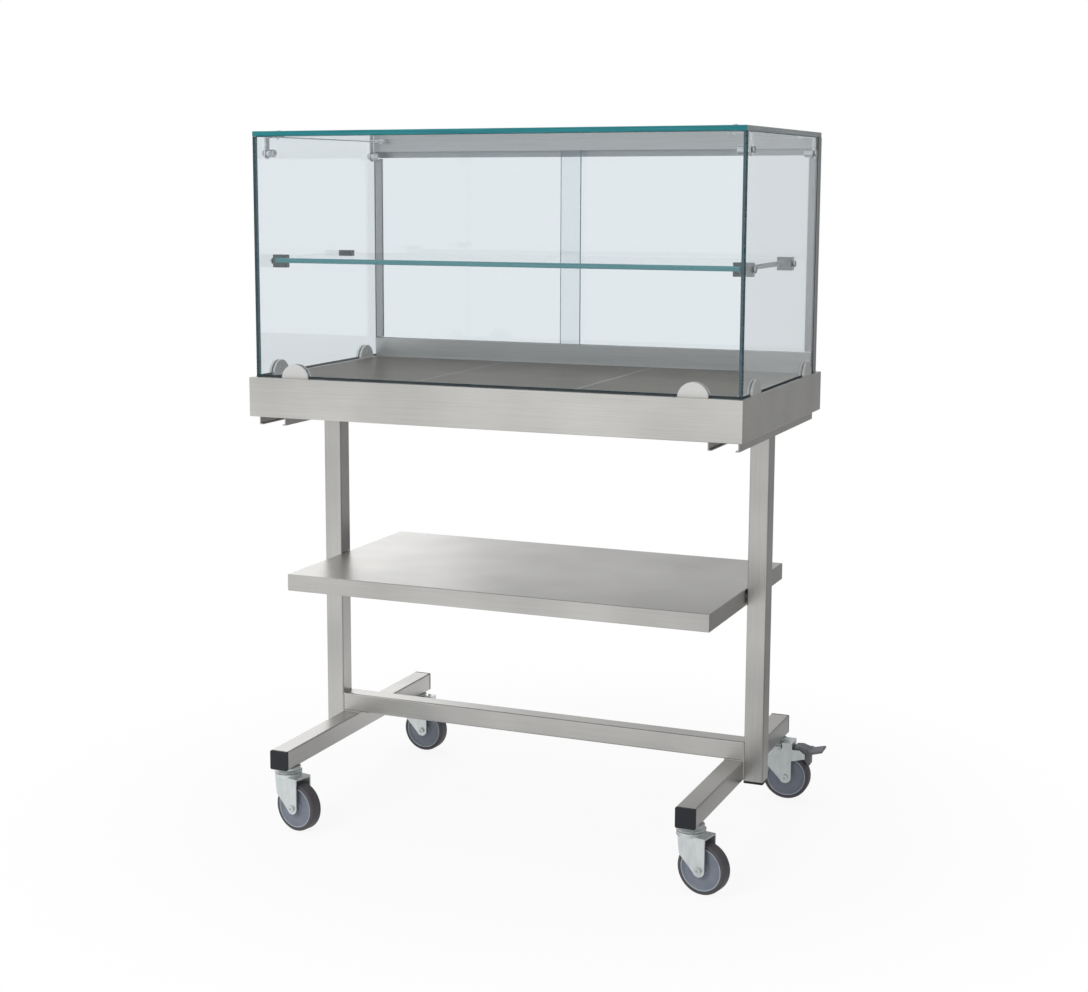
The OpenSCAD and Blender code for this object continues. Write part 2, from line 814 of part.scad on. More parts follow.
module pane_seals() {
    end_y = jamb_rear - jamb_d;
    color("#202024") difference() {
        union() {
            span([-case_x, -case_y, deck_z], [case_x, pane_in_y, pane_z]);
            both_sides() span([pane_in_x, pane_in_y, deck_z], [case_x, end_y, pane_z]);
        }
        for (place = HALF_MOONS)
            translate([place[0], place[1], 0]) rotate([0, 0, place[2]])
                span([-moon_r, -pane_t, deck_z - 1], [moon_r, pane_t, pane_z + 1]);
    }
}

module half_moon_clamps() {
    half = pane_t / 2 + moon_cheek;
    color("#C8C8C6") for (place = HALF_MOONS)
        translate([place[0], place[1], 0]) rotate([0, 0, place[2]]) difference() {
            slab_y(-half, half) half_moon_outline();
            span([-moon_r, -pane_t / 2, pane_z], [moon_r, pane_t / 2, deck_z + moon_r]);
            translate([0, 0, deck_z - 1]) cylinder(r = moon_screw_r + thread_play, h = seal_h);
        }
}

module half_moon_screws() {
    head_h = moon_screw_r;
    for (place = HALF_MOONS)
        translate([place[0], place[1], deck_z - apron_t]) {
            translate([0, 0, -head_h]) cylinder(r = 1.7 * moon_screw_r, h = head_h);
            translate([0, 0, -eps]) cylinder(r = moon_screw_r, h = apron_t + seal_h - 1.5);
        }
}

module hidden_fasteners() {
    color("steelblue") {
        frame_bolts();
        half_moon_screws();
    }
}

module corner_brackets() {
    color("#DADDDE") both_sides() for (y = corner_ys) translate([0, y, 0]) difference() {
        union() {
            span([pane_in_x - corner_reach, -corner_w / 2, pane_top_z - corner_t],
                 [pane_in_x, corner_w / 2, pane_top_z]);
            span([pane_in_x - corner_t, -corner_w / 2, corner_z],
                 [pane_in_x, corner_w / 2, pane_top_z]);
            translate([pane_in_x - corner_t, 0, corner_z]) rotate([0, 90, 0])
                cylinder(r = corner_pad_r, h = corner_t);
        }
        translate([pane_in_x - dome_x, 0, pane_top_z - corner_t - 1])
            cylinder(r = stud_r + thread_play, h = corner_t + 2);
        translate([pane_in_x - corner_t - 1, 0, corner_z]) rotate([0, 90, 0])
            cylinder(r = stud_r + thread_play, h = corner_t + 2);
    }
}

// The dome screws through the top pane, and the studs with knob and cap through the side panes
module corner_studs() {
    both_sides() for (y = corner_ys) translate([0, y, 0]) {
        translate([pane_in_x - dome_x, 0, 0]) {
            intersection() {
                translate([0, 0, top_z + dome_h - dome_sphere_r]) sphere(dome_sphere_r);
                translate([0, 0, top_z]) cylinder(r = dome_r + 1, h = dome_h + 1);
            }
            translate([0, 0, pane_top_z - corner_t - stud_r])
                cylinder(r = stud_r, h = top_t + corner_t + stud_r + eps);
        }
        translate([pane_in_x - corner_t - knob_in_len, 0, corner_z]) rotate([0, 90, 0]) {
            cylinder(r = knob_in_r, h = knob_in_len);
            cylinder(r = stud_r, h = knob_in_len + corner_t + pane_t + eps);
            translate([0, 0, knob_in_len + corner_t + pane_t]) cylinder(r = stud_cap_r, h = stud_cap_t);
        }
    }
}

module shelf_clamps() {
    slot_x = pane_in_x - glass_shelf_gap;
    color("#70787A") both_sides() for (y = shelf_clamp_ys) difference() {
        span([pane_in_x - shelf_clamp_x, y - shelf_clamp_w / 2, shelf_clamp_z],
             [pane_in_x, y + shelf_clamp_w / 2, shelf_clamp_z + shelf_clamp_h]);
        span([pane_in_x - shelf_clamp_x - 1, y - shelf_clamp_w, glass_shelf_z],
             [slot_x, y + shelf_clamp_w, glass_shelf_z + glass_shelf_t]);
        translate([slot_x - 1, y, shelf_stud_z]) rotate([0, 90, 0])
            cylinder(r = stud_r + thread_play, h = glass_shelf_gap + 2);
    }
}

module shelf_clamp_bolts() {
    both_sides() for (y = shelf_clamp_ys)
        translate([glass_shelf_x, y, shelf_stud_z]) rotate([0, 90, 0]) {
            cylinder(r = stud_r, h = glass_shelf_gap + pane_t + eps);
            translate([0, 0, glass_shelf_gap + pane_t]) cylinder(r = shelf_cap_r, h = shelf_cap_t);
        }
}

module glass_studs() {
    color("#E4E6E8") {
        corner_studs();
        shelf_clamp_bolts();
    }
}

// Door rails and doors

module door_track() {
    z = deck_z;
    wall = rib_t;
    color("#9FA2A4") slab_x(-jamb_in_x, jamb_in_x) difference() {
        translate([rail_front, z]) square([rail_rear - rail_front, track_h]);
        translate([inner_groove_y, rail_floor_z]) square([groove_w, groove_h + 1]);
        translate([outer_groove_y, rail_floor_z]) square([groove_w, groove_h + 1]);
        translate([inner_groove_y, z + wall])
            square([outer_groove_y + groove_w - inner_groove_y, track_h - groove_h - 2 * wall]);
    }
}

module door_header() {
    web_z = pane_top_z - rib_t;
    color("#9FA2A4") slab_x(-jamb_in_x, jamb_in_x) union() {
        translate([rail_front, web_z]) square([rail_rear - rail_front, rib_t]);
        translate([rail_front, pane_top_z - header_h]) square([rib_t, header_h]);
        translate([inner_groove_y + groove_w, pane_top_z - header_h]) square([rib_t, header_h]);
        translate([rail_rear - rib_t, pane_top_z - header_rear_h]) square([rib_t, header_rear_h]);
    }
}

module door_jambs() {
    color("#B4B6B8") both_sides() difference() {
        span([jamb_in_x, jamb_rear - jamb_d, deck_z], [case_x + jamb_t, jamb_rear, pane_top_z]);
        span([pane_in_x, jamb_rear - jamb_d - 1, deck_z - 1],
             [case_x, jamb_rear - jamb_web_t, pane_top_z + 1]);
    }
}

// Doors: the glass ends short of the door's width by the wall of the pull
module left_door() {
    color("#B9DDE0")
        span([-door_edge_x + pull_t, inner_door_y, door_z],
             [left_door_w - door_edge_x, inner_door_y + door_t, door_top]);
}

module right_door() {
    color("#B9DDE0")
        span([door_edge_x - right_door_w, outer_door_y, door_z],
             [door_edge_x - pull_t, outer_door_y + door_t, door_top]);
}

// The folded profile on a door's outer edge, drawn for the left door
module door_pull(y) {
    color("#A8AAAC") difference() {
        span([-door_edge_x, y - pull_t, pull_z], [pull_w - door_edge_x, y + door_t + pull_t, pull_top]);
        span([-door_edge_x + pull_t, y, pull_z - 1], [pull_w, y + door_t, pull_top + 1]);
    }
}

module left_door_pull() {
    door_pull(inner_door_y);
}

module right_door_pull() {
    mirror([1, 0, 0]) door_pull(outer_door_y);
}

// Controls on the rear of the apron

module thermostat() {
    color("#3A3C40") translate([-thermostat_x, wall_y, controls_height]) {
        translate([-thermostat_w / 2, -thermostat_d, -thermostat_w / 2])
            cube([thermostat_w, thermostat_d, thermostat_w]);
        rotate([-90, 0, 0]) {
            translate([0, 0, -eps]) cylinder(r = spindle_r + 2, h = apron_t + eps);
            cylinder(r = spindle_r, h = apron_t + knob_h - 4);
        }
    }
}

module thermostat_knob() {
    gap = 0.5;
    color("#1E1E20") translate([-thermostat_x, base_d / 2 + gap, controls_height]) rotate([-90, 0, 0])
        difference() {
            union() {
                cylinder(r = knob_r, h = knob_h / 3);
                cylinder(r = knob_r - 3, h = knob_h);
            }
            translate([0, 0, -1]) cylinder(r = spindle_r + run_play, h = knob_h - 1);
            translate([-1, -knob_r, knob_h - 1]) cube([2, 8, 2]);
        }
}

module switch_body() {
    wall = 2;
    x = -switch_x;
    z = controls_height;
    color("#26272A") union() {
        difference() {
            union() {
                span([x - switch_w / 2 - rim_w, base_d / 2, z - switch_h / 2 - rim_w],
                     [x + switch_w / 2 + rim_w, base_d / 2 + rim_t, z + switch_h / 2 + rim_w]);
                span([x - switch_w / 2, wall_y - switch_d, z - switch_h / 2],
                     [x + switch_w / 2, base_d / 2 + eps, z + switch_h / 2]);
            }
            span([x - rocker_w / 2 - rocker_play, wall_y - switch_d + wall, z - switch_h / 2 + wall],
                 [x + rocker_w / 2 + rocker_play, base_d / 2 + rim_t + 1, z + switch_h / 2 - wall]);
        }
        translate([x - switch_w / 2 + 1, rocker_pivot_y, z]) rotate([0, 90, 0])
            cylinder(r = rocker_pin_r, h = switch_w - 2);
    }
}

// The rocker is tilted at rest with its upper half pressed in
module switch_rocker() {
    face = 9.5;
    half = switch_h / 2 - 4;
    color("#8E1F1A") translate([-switch_x, rocker_pivot_y, controls_height])
        rotate([rocker_tilt, 0, 0]) slab_x(-rocker_w / 2, rocker_w / 2) difference() {
            polygon([[-3, -4], [face - 1.5, -half], [face, -half], [face - 1, 0], [face, half],
                     [face - 1.5, half], [-3, 4]]);
            circle(rocker_pin_r + run_play);
        }
}

module power_inlet() {
    wall = 1.5;
    back_y = wall_y - inlet_d;
    x = -inlet_x;
    z = controls_height;
    color("#1B1B1D") union() {
        difference() {
            union() {
                span([x - inlet_w / 2 - rim_w, base_d / 2, z - inlet_h / 2 - rim_w],
                     [x + inlet_w / 2 + rim_w, base_d / 2 + rim_t, z + inlet_h / 2 + rim_w]);
                span([x - inlet_w / 2, back_y, z - inlet_h / 2],
                     [x + inlet_w / 2, base_d / 2 + eps, z + inlet_h / 2]);
            }
            span([x - inlet_w / 2 + wall, back_y + 2 * wall, z - inlet_h / 2 + wall],
                 [x + inlet_w / 2 - wall, base_d / 2 + rim_t + 1, z + inlet_h / 2 - wall]);
        }
        for (pin = [[-7, -2], [0, 2], [7, -2]])
            translate([x + pin[0] - 1, back_y + wall, z + pin[1] - 2]) cube([2, inlet_d - 8, 4]);
    }
}

// Castors

// Puts the children, drawn about the swivel axis, where a castor stands
module at_castor(i) {
    translate([CASTORS[i][0] * foot_x, CASTORS[i][1] * castor_y, 0])
        rotate([0, 0, CASTORS[i][2]]) children();
}

// The kingpin with its head, the upper raceway and the stem in the foot
module castor_stems() {
    color("#BFC5C6") for (i = [0:3]) at_castor(i) {
        translate([0, 0, race_up_z]) cylinder(r = race_up_r, h = castor_h - race_up_z);
        translate([0, 0, crown_low_z - castor_gap - pin_head_h]) {
            cylinder(r = pin_head_r, h = pin_head_h);
            cylinder(r = stem_r, h = castor_h + stem_h - crown_low_z + castor_gap + pin_head_h);
        }
    }
}

// A leg of the fork in (u, z)
module leg_outline() {
    difference() {
        union() {
            polygon([[-17, crown_z], [-15, crown_z - 23], [-13, crown_z - 38], [-5, crown_z - 46],
                     [8, crown_z - 59], [trail - 8, wheel_r - 9], [trail, wheel_r],
                     [fork_tail_u, wheel_r], [fork_tail_u, crown_z]]);
            translate([trail, wheel_r]) circle(boss_r);
        }
        translate([trail, wheel_r]) circle(axle_r + run_play);
    }
}

module fork() {
    difference() {
        union() {
            slab_y(-fork_half, -fork_in) leg_outline();
            slab_y(fork_in, fork_half) leg_outline();
            span([0, -fork_half, crown_low_z], [fork_tail_u, fork_half, crown_z]);
            translate([0, 0, crown_low_z]) cylinder(r = race_low_r, h = race_low_z - crown_low_z);
        }
        translate([0, 0, crown_low_z - 1])
            cylinder(r = stem_r + run_play, h = race_low_z - crown_low_z + 2);
    }
}

// A brake cheek in (u, z), from the fork's tail to below the pedal
module cheek_outline() {
    polygon([[fork_tail_u - 3, crown_z], [fork_tail_u - 3, crown_z - 25],
             [fork_tail_u + 3, crown_z - 25], [pivot_u + 20, crown_z - 18],
             [pivot_u + 20, crown_z - 8], [pivot_u + 8, crown_z]]);
}

// The rear castors' fork, with the brake's cheeks, pivot pin and housing
module brake_fork() {
    fork();
    slab_y(-fork_half, -cheek_in) cheek_outline();
    slab_y(cheek_in, fork_half) cheek_outline();
    translate([pivot_u, fork_half, pivot_z]) rotate([90, 0, 0]) cylinder(r = pivot_r, h = 2 * fork_half);
    difference() {
        span([0, -fork_half, crown_z - eps], [fork_tail_u + 1.5, fork_half, crown_z + housing_h]);
        cylinder(r = race_up_r + 1.5, h = 2 * castor_h);
    }
}

// A pedal in (u, z), about its pivot
module pedal_outline() {
    difference() {
        union() {
            polygon([[-5.5, 4], [-3.5, 14.5], [10, 15.5], [28, 9.5], [34, 8], [pedal_len - 3.5, 13],
                     [pedal_len, 12], [pedal_len, 9], [36, 3], [26, 2], [10, 2], [4, -2]]);
            circle(barrel_r);
        }
        circle(pivot_r + run_play);
    }
}

// The brake shoe below a pedal, hollowed to the round of the tread
module shoe_outline() {
    difference() {
        translate([shoe_u, -24]) square([12, 27]);
        translate([trail - pivot_u, wheel_r - pivot_z]) circle(wheel_r + shoe_gap);
    }
}

module pedal() {
    color("#4A4C54") translate([pivot_u, 0, pivot_z]) {
        intersection() {
            slab_y(pedal_arm_gap - cheek_in, cheek_in - pedal_arm_gap) pedal_outline();
            span([-far, -far, -far], [toe_u + 2, far, far]);
        }
        intersection() {
            slab_y(-pedal_w / 2, pedal_w / 2) pedal_outline();
            span([toe_u, -far, -far], [far, far, far]);
        }
        slab_y(castor_gap - cheek_in, cheek_in - castor_gap) difference() {
            circle(barrel_r);
            circle(pivot_r + run_play);
        }
        slab_y(-wheel_w / 2, wheel_w / 2) shoe_outline();
    }
}

module axle() {
    head_h = 4;
    color("#D5D9DA") translate([trail, 0, wheel_r]) rotate([90, 0, 0]) difference() {
        union() {
            cylinder(r = axle_r, h = 2 * fork_half, center = true);
            for (side = [-1, 1])
                translate([0, 0, side * (fork_half + head_h / 2)])
                    cylinder(r = axle_head_r, h = head_h, center = true);
        }
        for (side = [-1, 1])
            translate([0, 0, side * (fork_half + head_h)])
                cylinder(r = 2.8, h = 4, center = true, $fn = 6);
    }
}

// The wheel body: barrel, web and rim, turned about the axle
module wheel() {
    barrel_half = fork_in - castor_gap;
    rim_r = wheel_r - tyre_t;
    rim_half = wheel_w / 2 - 1;
    color("#6B7280") translate([trail, 0, wheel_r]) rotate([90, 0, 0]) rotate_extrude() difference() {
        union() {
            translate([0, -barrel_half]) square([hub_r, 2 * barrel_half]);
            translate([hub_r - 1, -hub_web_t / 2]) square([rim_r - hub_r, hub_web_t]);
            translate([rim_r - hub_rim_t, -rim_half]) square([hub_rim_t, 2 * rim_half]);
        }
        translate([-1, -far]) square([axle_r + run_play + 1, 2 * far]);
    }
}

module tyre_outline() {
    half = wheel_w / 2;
    r = tyre_shoulder;
    intersection() {
        union() {
            translate([wheel_r - tyre_t, -half]) square([tyre_t - r, wheel_w]);
            translate([wheel_r - tyre_t, -half + r]) square([tyre_t, wheel_w - 2 * r]);
            for (side = [-1, 1])
                translate([wheel_r - r, side * (half - r)]) circle(r);
        }
        translate([wheel_r - tyre_t, -half]) square([tyre_t, wheel_w]);
    }
}

module tyre() {
    color("#4A4850") translate([trail, 0, wheel_r]) rotate([90, 0, 0]) rotate_extrude() tyre_outline();
}

module front_left_fork() {
    color("#C9D0D0") at_castor(FRONT_LEFT) fork();
}

module front_left_axle() {
    at_castor(FRONT_LEFT) axle();
}

module front_left_wheel() {
    at_castor(FRONT_LEFT) wheel();
}

module front_left_tyre() {
    at_castor(FRONT_LEFT) tyre();
}

module front_right_fork() {
    color("#C9D0D0") at_castor(FRONT_RIGHT) fork();
}

module front_right_axle() {
    at_castor(FRONT_RIGHT) axle();
}

module front_right_wheel() {
    at_castor(FRONT_RIGHT) wheel();
}

module front_right_tyre() {
    at_castor(FRONT_RIGHT) tyre();
}

module rear_left_fork() {
    color("#C9D0D0") at_castor(REAR_LEFT) brake_fork();
}

module rear_left_axle() {
    at_castor(REAR_LEFT) axle();
}

module rear_left_wheel() {
    at_castor(REAR_LEFT) wheel();
}

module rear_left_tyre() {
    at_castor(REAR_LEFT) tyre();
}

module rear_right_fork() {
    color("#C9D0D0") at_castor(REAR_RIGHT) brake_fork();
}

module rear_right_axle() {
    at_castor(REAR_RIGHT) axle();
}

module rear_right_wheel() {
    at_castor(REAR_RIGHT) wheel();
}

module rear_right_tyre() {
    at_castor(REAR_RIGHT) tyre();
}

module rear_left_pedal() {
    at_castor(REAR_LEFT) pedal();
}

module rear_right_pedal() {
    at_castor(REAR_RIGHT) pedal();
}

// What is drawn
left_foot();
right_foot();
left_post();
right_post();
stretcher();
tube_end_caps();
post_head_plates();
mid_shelf();
mid_shelf_angles();
hidden_fasteners();
base_shell();
left_deck_plate();
middle_deck_plate();
right_deck_plate();
heating_mats();
insulation_board();
bottom_pan();
left_channel();
right_channel();
door_track();
door_header();
door_jambs();
top_pane();
front_pane();
left_pane();
right_pane();
glass_shelf();
pane_seals();
half_moon_clamps();
corner_brackets();
shelf_clamps();
glass_studs();
thermostat();
switch_body();
power_inlet();
left_door();
left_door_pull();
right_door();
right_door_pull();
thermostat_knob();
switch_rocker();
castor_stems();
front_left_fork();
front_left_axle();
front_left_wheel();
front_left_tyre();
front_right_fork();
front_right_axle();
front_right_wheel();
front_right_tyre();
rear_left_fork();
rear_left_axle();
rear_left_wheel();
rear_left_tyre();
rear_right_fork();
rear_right_axle();
rear_right_wheel();
rear_right_tyre();
rear_left_pedal();
rear_right_pedal();
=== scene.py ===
# %% [markdown]
# # A heated display cart
#
# The cart is a glass case on a heated steel base. Two posts carry the base, and a wheeled foot frame
# carries the posts. The CAD frame already holds every piece at its true size and place, so this
# notebook gives the pieces what CAD leaves out: soft folds, ground glass edges, weld beads, turned
# screws, and a finish for each metal, plastic and glass.
#
# X runs to the right, Y to the back and Z up, in metres. Small sizes are written in mm and times MM.

# %% Load the frame
import json
import math

import bmesh
import bpy
from mathutils import Matrix, Vector


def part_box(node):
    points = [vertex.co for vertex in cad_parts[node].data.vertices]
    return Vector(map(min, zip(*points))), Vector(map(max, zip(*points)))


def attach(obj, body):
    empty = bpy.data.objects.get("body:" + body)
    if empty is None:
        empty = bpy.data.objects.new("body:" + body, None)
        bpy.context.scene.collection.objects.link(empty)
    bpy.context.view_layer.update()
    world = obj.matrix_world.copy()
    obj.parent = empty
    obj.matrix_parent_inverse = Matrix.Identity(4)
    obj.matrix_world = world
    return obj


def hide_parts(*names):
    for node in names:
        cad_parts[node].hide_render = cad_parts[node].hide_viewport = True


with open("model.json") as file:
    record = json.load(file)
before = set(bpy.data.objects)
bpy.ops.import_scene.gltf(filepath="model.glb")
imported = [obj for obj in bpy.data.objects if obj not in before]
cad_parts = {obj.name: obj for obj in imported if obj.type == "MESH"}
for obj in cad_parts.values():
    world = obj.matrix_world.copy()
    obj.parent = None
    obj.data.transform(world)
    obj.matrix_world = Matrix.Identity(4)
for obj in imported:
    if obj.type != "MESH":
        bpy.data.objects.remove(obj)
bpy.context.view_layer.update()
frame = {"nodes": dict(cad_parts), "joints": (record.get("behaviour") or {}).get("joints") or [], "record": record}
MM = 0.001
BODY = {node: body for body, nodes in frame["record"]["behaviour"]["bodies"].items() for node in nodes}
JOINT = {joint["name"]: joint for joint in frame["joints"]}
CASTORS = ["front_left", "front_right", "rear_left", "rear_right"]

# %% [markdown]
# ## The camera
#
# The photograph was taken from the front, a little to the right and from above the glass case. The
# camera's place and its lens were solved from the cart's straight edges. The picture was cropped off
# centre, which a small lens shift repeats without bending the vertical lines.

# %% Camera
FRAME_W, FRAME_H = 1088, 992
FOCAL_PX, SENSOR_MM = 1848, 36
AXIS_X, AXIS_Y = 492.2, 461.0
EYE = (1.4321, -3.5, 1.3165)
LOOKS_DOWN, TURNS_LEFT = 8.5, 23.72

camera = bpy.data.objects.new("camera", bpy.data.cameras.new("camera"))
bpy.context.scene.collection.objects.link(camera)
bpy.context.scene.camera = camera
camera.location = EYE
camera.rotation_euler = (math.radians(90 - LOOKS_DOWN), 0, math.radians(TURNS_LEFT))
camera.data.sensor_fit = "HORIZONTAL"
camera.data.sensor_width = SENSOR_MM
camera.data.lens = SENSOR_MM * FOCAL_PX / FRAME_W
camera.data.shift_x = (FRAME_W / 2 - AXIS_X) / FRAME_W
camera.data.shift_y = (AXIS_Y - FRAME_H / 2) / FRAME_W
bpy.context.scene.view_settings.view_transform = "Standard"
print("lens:", round(camera.data.lens, 2), "mm")

# %% [markdown]
# ## Helpers for materials
#
# A shader is a small graph of nodes. One helper adds a node with its settings and its links, and
# another turns the hex colours that painters and designers use into the linear light that a renderer
# works in. Every material below is built with them.

# %% Colour and node helpers
def linear(hex_code):
    """An sRGB hex colour as linear light, with alpha."""
    channels = [int(hex_code[i:i + 2], 16) / 255 for i in (1, 3, 5)]
    return [c / 12.92 if c <= 0.04045 else ((c + 0.055) / 1.055) ** 2.4 for c in channels] + [1]


def add(tree, kind, sockets=None, **settings):
    """Adds a shader node. A socket's value is either a constant or the output that feeds it."""
    node = tree.nodes.new("ShaderNode" + kind)
    for name, value in settings.items():
        setattr(node, name, value)
    for name, value in (sockets or {}).items():
        if isinstance(value, bpy.types.NodeSocket):
            tree.links.new(value, node.inputs[name])
        else:
            node.inputs[name].default_value = value
    return node


def new_tree(name):
    """A new material and its empty node tree."""
    material = bpy.data.materials.new(name)
    material.use_nodes = True
    material.node_tree.nodes.clear()
    return material, material.node_tree


# %% [markdown]
# ## Helpers for patterns
#
# No finish is one flat colour. A noise gives streaks, clouds or texture, and its grain is written as
# lengths in mm, so that a brushed line or a cloud has the size of the real one. The same noise then
# drives the colour, the roughness or a bump. An image could do this too, but it would need unwrapping
# and would blur close by.

# %% Pattern helpers
def noise(tree, grain, detail=3.0, roughness=0.55):
    """Noise whose grain has these lengths in mm along X, Y and Z, read from the piece's own place."""
    place = add(tree, "TexCoord").outputs["Object"]
    scale = [1 / (length * MM) for length in grain]
    stretched = add(tree, "Mapping", {"Vector": place, "Scale": scale}).outputs["Vector"]
    return add(tree, "TexNoise", {"Vector": stretched, "Scale": 1.0, "Detail": detail,
                                  "Roughness": roughness}).outputs["Fac"]


def between(tree, pattern, low, high, start=0.3, end=0.7):
    """Spreads a pattern between two numbers."""
    return add(tree, "MapRange", {"Value": pattern, "From Min": start, "From Max": end,
                                  "To Min": low, "To Max": high}).outputs["Result"]


def blend_colours(tree, pattern, first, second, start=0.3, end=0.7):
    """Spreads a pattern between two hex colours."""
    ramp = add(tree, "ValToRGB", {"Fac": pattern})
    ramp.color_ramp.elements[0].position = start
    ramp.color_ramp.elements[0].color = linear(first)
    ramp.color_ramp.elements[1].position = end
    ramp.color_ramp.elements[1].color = linear(second)
    return ramp.outputs["Color"]


def relief(tree, pattern, height_mm, strength=1.0):
    """Turns a pattern into a bump of this height."""
    return add(tree, "Bump", {"Height": pattern, "Distance": height_mm * MM,
                              "Strength": strength}).outputs["Normal"]


def surface(tree, **sockets):
    """A Principled shader on the material's output. An underscore in a name stands for a space."""
    shader = add(tree, "BsdfPrincipled", {name.replace("_", " "): value for name, value in sockets.items()})
    return add(tree, "OutputMaterial", {"Surface": shader.outputs["BSDF"]})


# %% [markdown]
# ## Brushed stainless steel
#
# The frame, the shelf and the base are AISI 304 sheet and tube with a satin finish. An abrasive belt
# leaves long, straight scratches that all run one way: along a tube, and along the sheet's length.
# That grain could be drawn with an anisotropic shader alone. Here a noise is stretched along the
# grain, because it also gives the faint light and dark streaks that the eye sees from a step away.
# Real scratches are about 0.05 mm apart, too fine to show, so they are drawn 1.4 mm apart.

# %% Satin stainless
def satin_stainless(name, grain, scratch_depth=0.012, dark="#AFAEAC", light="#D1D0CD"):
    material, tree = new_tree(name)
    streaks = noise(tree, grain, detail=6.0, roughness=0.7)
    clouds = noise(tree, (220, 220, 220), detail=2.0)
    tone = add(tree, "Math", {0: streaks, 1: clouds}, operation="ADD").outputs["Value"]
    half = add(tree, "Math", {0: tone, 1: 0.5}, operation="MULTIPLY").outputs["Value"]
    surface(tree, Base_Color=blend_colours(tree, half, dark, light), Metallic=1.0,
            Roughness=between(tree, streaks, 0.30, 0.42), Normal=relief(tree, streaks, scratch_depth))
    return material


SCRATCH, RUN = 1.4, 170
steel_along_x = satin_stainless("satin_stainless_along_x", (RUN, SCRATCH, SCRATCH))
steel_along_y = satin_stainless("satin_stainless_along_y", (SCRATCH, RUN, SCRATCH), 0.006)
steel_upright = satin_stainless("satin_stainless_upright", (SCRATCH, SCRATCH, RUN), 0.003)
# The base's copy is painted lighter than the other steels, standing in for brighter light on the apron.
satin_base_painted_lighter = satin_stainless("satin_stainless_base_painted_lighter", (RUN, RUN, SCRATCH),
                                   dark="#BBBAB7", light="#DEDDD9")
print("stainless steels:", 4)

# %% [markdown]
# ## Plain steel, the deck and the castors' zinc
#
# The plates and angles that nobody looks at are cold-rolled steel, duller than the satin sheet. The
# heated deck is polished finer than the rest, so it mirrors what stands over it, and heat has given it
# a faint straw tint in slow clouds. The castors' forks are pressed from sheet and zinc plated: bright,
# faintly blue, and a little cloudy where the plating bath left its mark.

# %% Plate, deck and zinc
def cold_rolled_plate():
    material, tree = new_tree("cold_rolled_plate")
    mill = noise(tree, (6, 6, 6), detail=5.0)
    surface(tree, Base_Color=blend_colours(tree, mill, "#77797B", "#8E9092"), Metallic=1.0,
            Roughness=between(tree, mill, 0.38, 0.55), Normal=relief(tree, mill, 0.02))
    return material


def polished_deck():
    material, tree = new_tree("polished_deck_steel")
    lapping = noise(tree, (90, 2, 90), detail=4.0)
    tint = noise(tree, (160, 110, 160), detail=2.0)
    surface(tree, Base_Color=blend_colours(tree, tint, "#827D77", "#96928D"), Metallic=1.0,
            Specular_Tint=linear("#B2AEA8"), Roughness=between(tree, lapping, 0.28, 0.33))
    return material


def bright_zinc(name, dark="#CBD1D2", light="#DDE2E2"):
    material, tree = new_tree(name)
    cloud = noise(tree, (12, 12, 34), detail=3.0)
    pressing = noise(tree, (1.2, 1.2, 1.2), detail=2.0)
    surface(tree, Base_Color=blend_colours(tree, cloud, dark, light), Metallic=0.8,
            Roughness=between(tree, cloud, 0.28, 0.42), Normal=relief(tree, pressing, 0.015))
    return material


plate_steel = cold_rolled_plate()
deck_steel = polished_deck()
castor_zinc = bright_zinc("bright_zinc_plate")
axle_steel = bright_zinc("turned_axle_steel", "#C2C5C7", "#DADCDD")

# %% [markdown]
# ## Aluminium and bright fittings
#
# The door rails, the jambs and the pulls are extruded aluminium with a matt anodised skin, drawn as
# fine lines along the extrusion. The half-moon clamps are the same metal with a finer blast, and the
# shelf clamps are a darker grey. The studs and corner brackets are nickel plated and polished.

# %% Aluminium and nickel
def anodised_aluminium(name, grain, dark, light, rough=(0.32, 0.44)):
    material, tree = new_tree(name)
    lines = noise(tree, grain, detail=3.0)
    surface(tree, Base_Color=blend_colours(tree, lines, dark, light), Metallic=1.0,
            Roughness=between(tree, lines, *rough), Normal=relief(tree, lines, 0.01))
    return material


rail_aluminium = anodised_aluminium("anodised_rail_aluminium", (200, 1, 1), "#BABBBB", "#CFD0D0")
jamb_aluminium = anodised_aluminium("anodised_jamb_aluminium", (1, 1, 200), "#A2A5A7", "#B8BBBD")
clamp_aluminium = anodised_aluminium("blasted_clamp_aluminium", (0.8, 0.8, 0.8), "#DADAD8", "#E8E8E6",
                                     (0.42, 0.52))
grey_clamp_metal = anodised_aluminium("grey_shelf_clamp", (0.8, 0.8, 0.8), "#5A6265", "#6E7679",
                                      (0.42, 0.54))
polished_nickel = anodised_aluminium("polished_nickel", (14, 14, 14), "#C9CCCE", "#DFE1E2", (0.06, 0.14))

# %% [markdown]
# ## Rubber, plastics, mats and wool
#
# Tyres of these castors are grey thermoplastic rubber, a little brown on the tread where dust has
# settled. The hubs are moulded polypropylene, the pedals and controls glass-filled nylon and ABS with
# a fine spark-eroded texture. The heating mats are orange silicone, and the insulation is mineral wool.

# %% Rubber and plastic
def moulded(name, dark, light, rough, texture_mm=0.9, height_mm=0.02, patch_mm=25):
    material, tree = new_tree(name)
    texture = noise(tree, (texture_mm,) * 3, detail=2.0)
    patches = noise(tree, (patch_mm,) * 3, detail=3.0)
    surface(tree, Base_Color=blend_colours(tree, patches, dark, light), IOR=1.49,
            Roughness=between(tree, patches, rough, rough + 0.12),
            Normal=relief(tree, texture, height_mm))
    return material


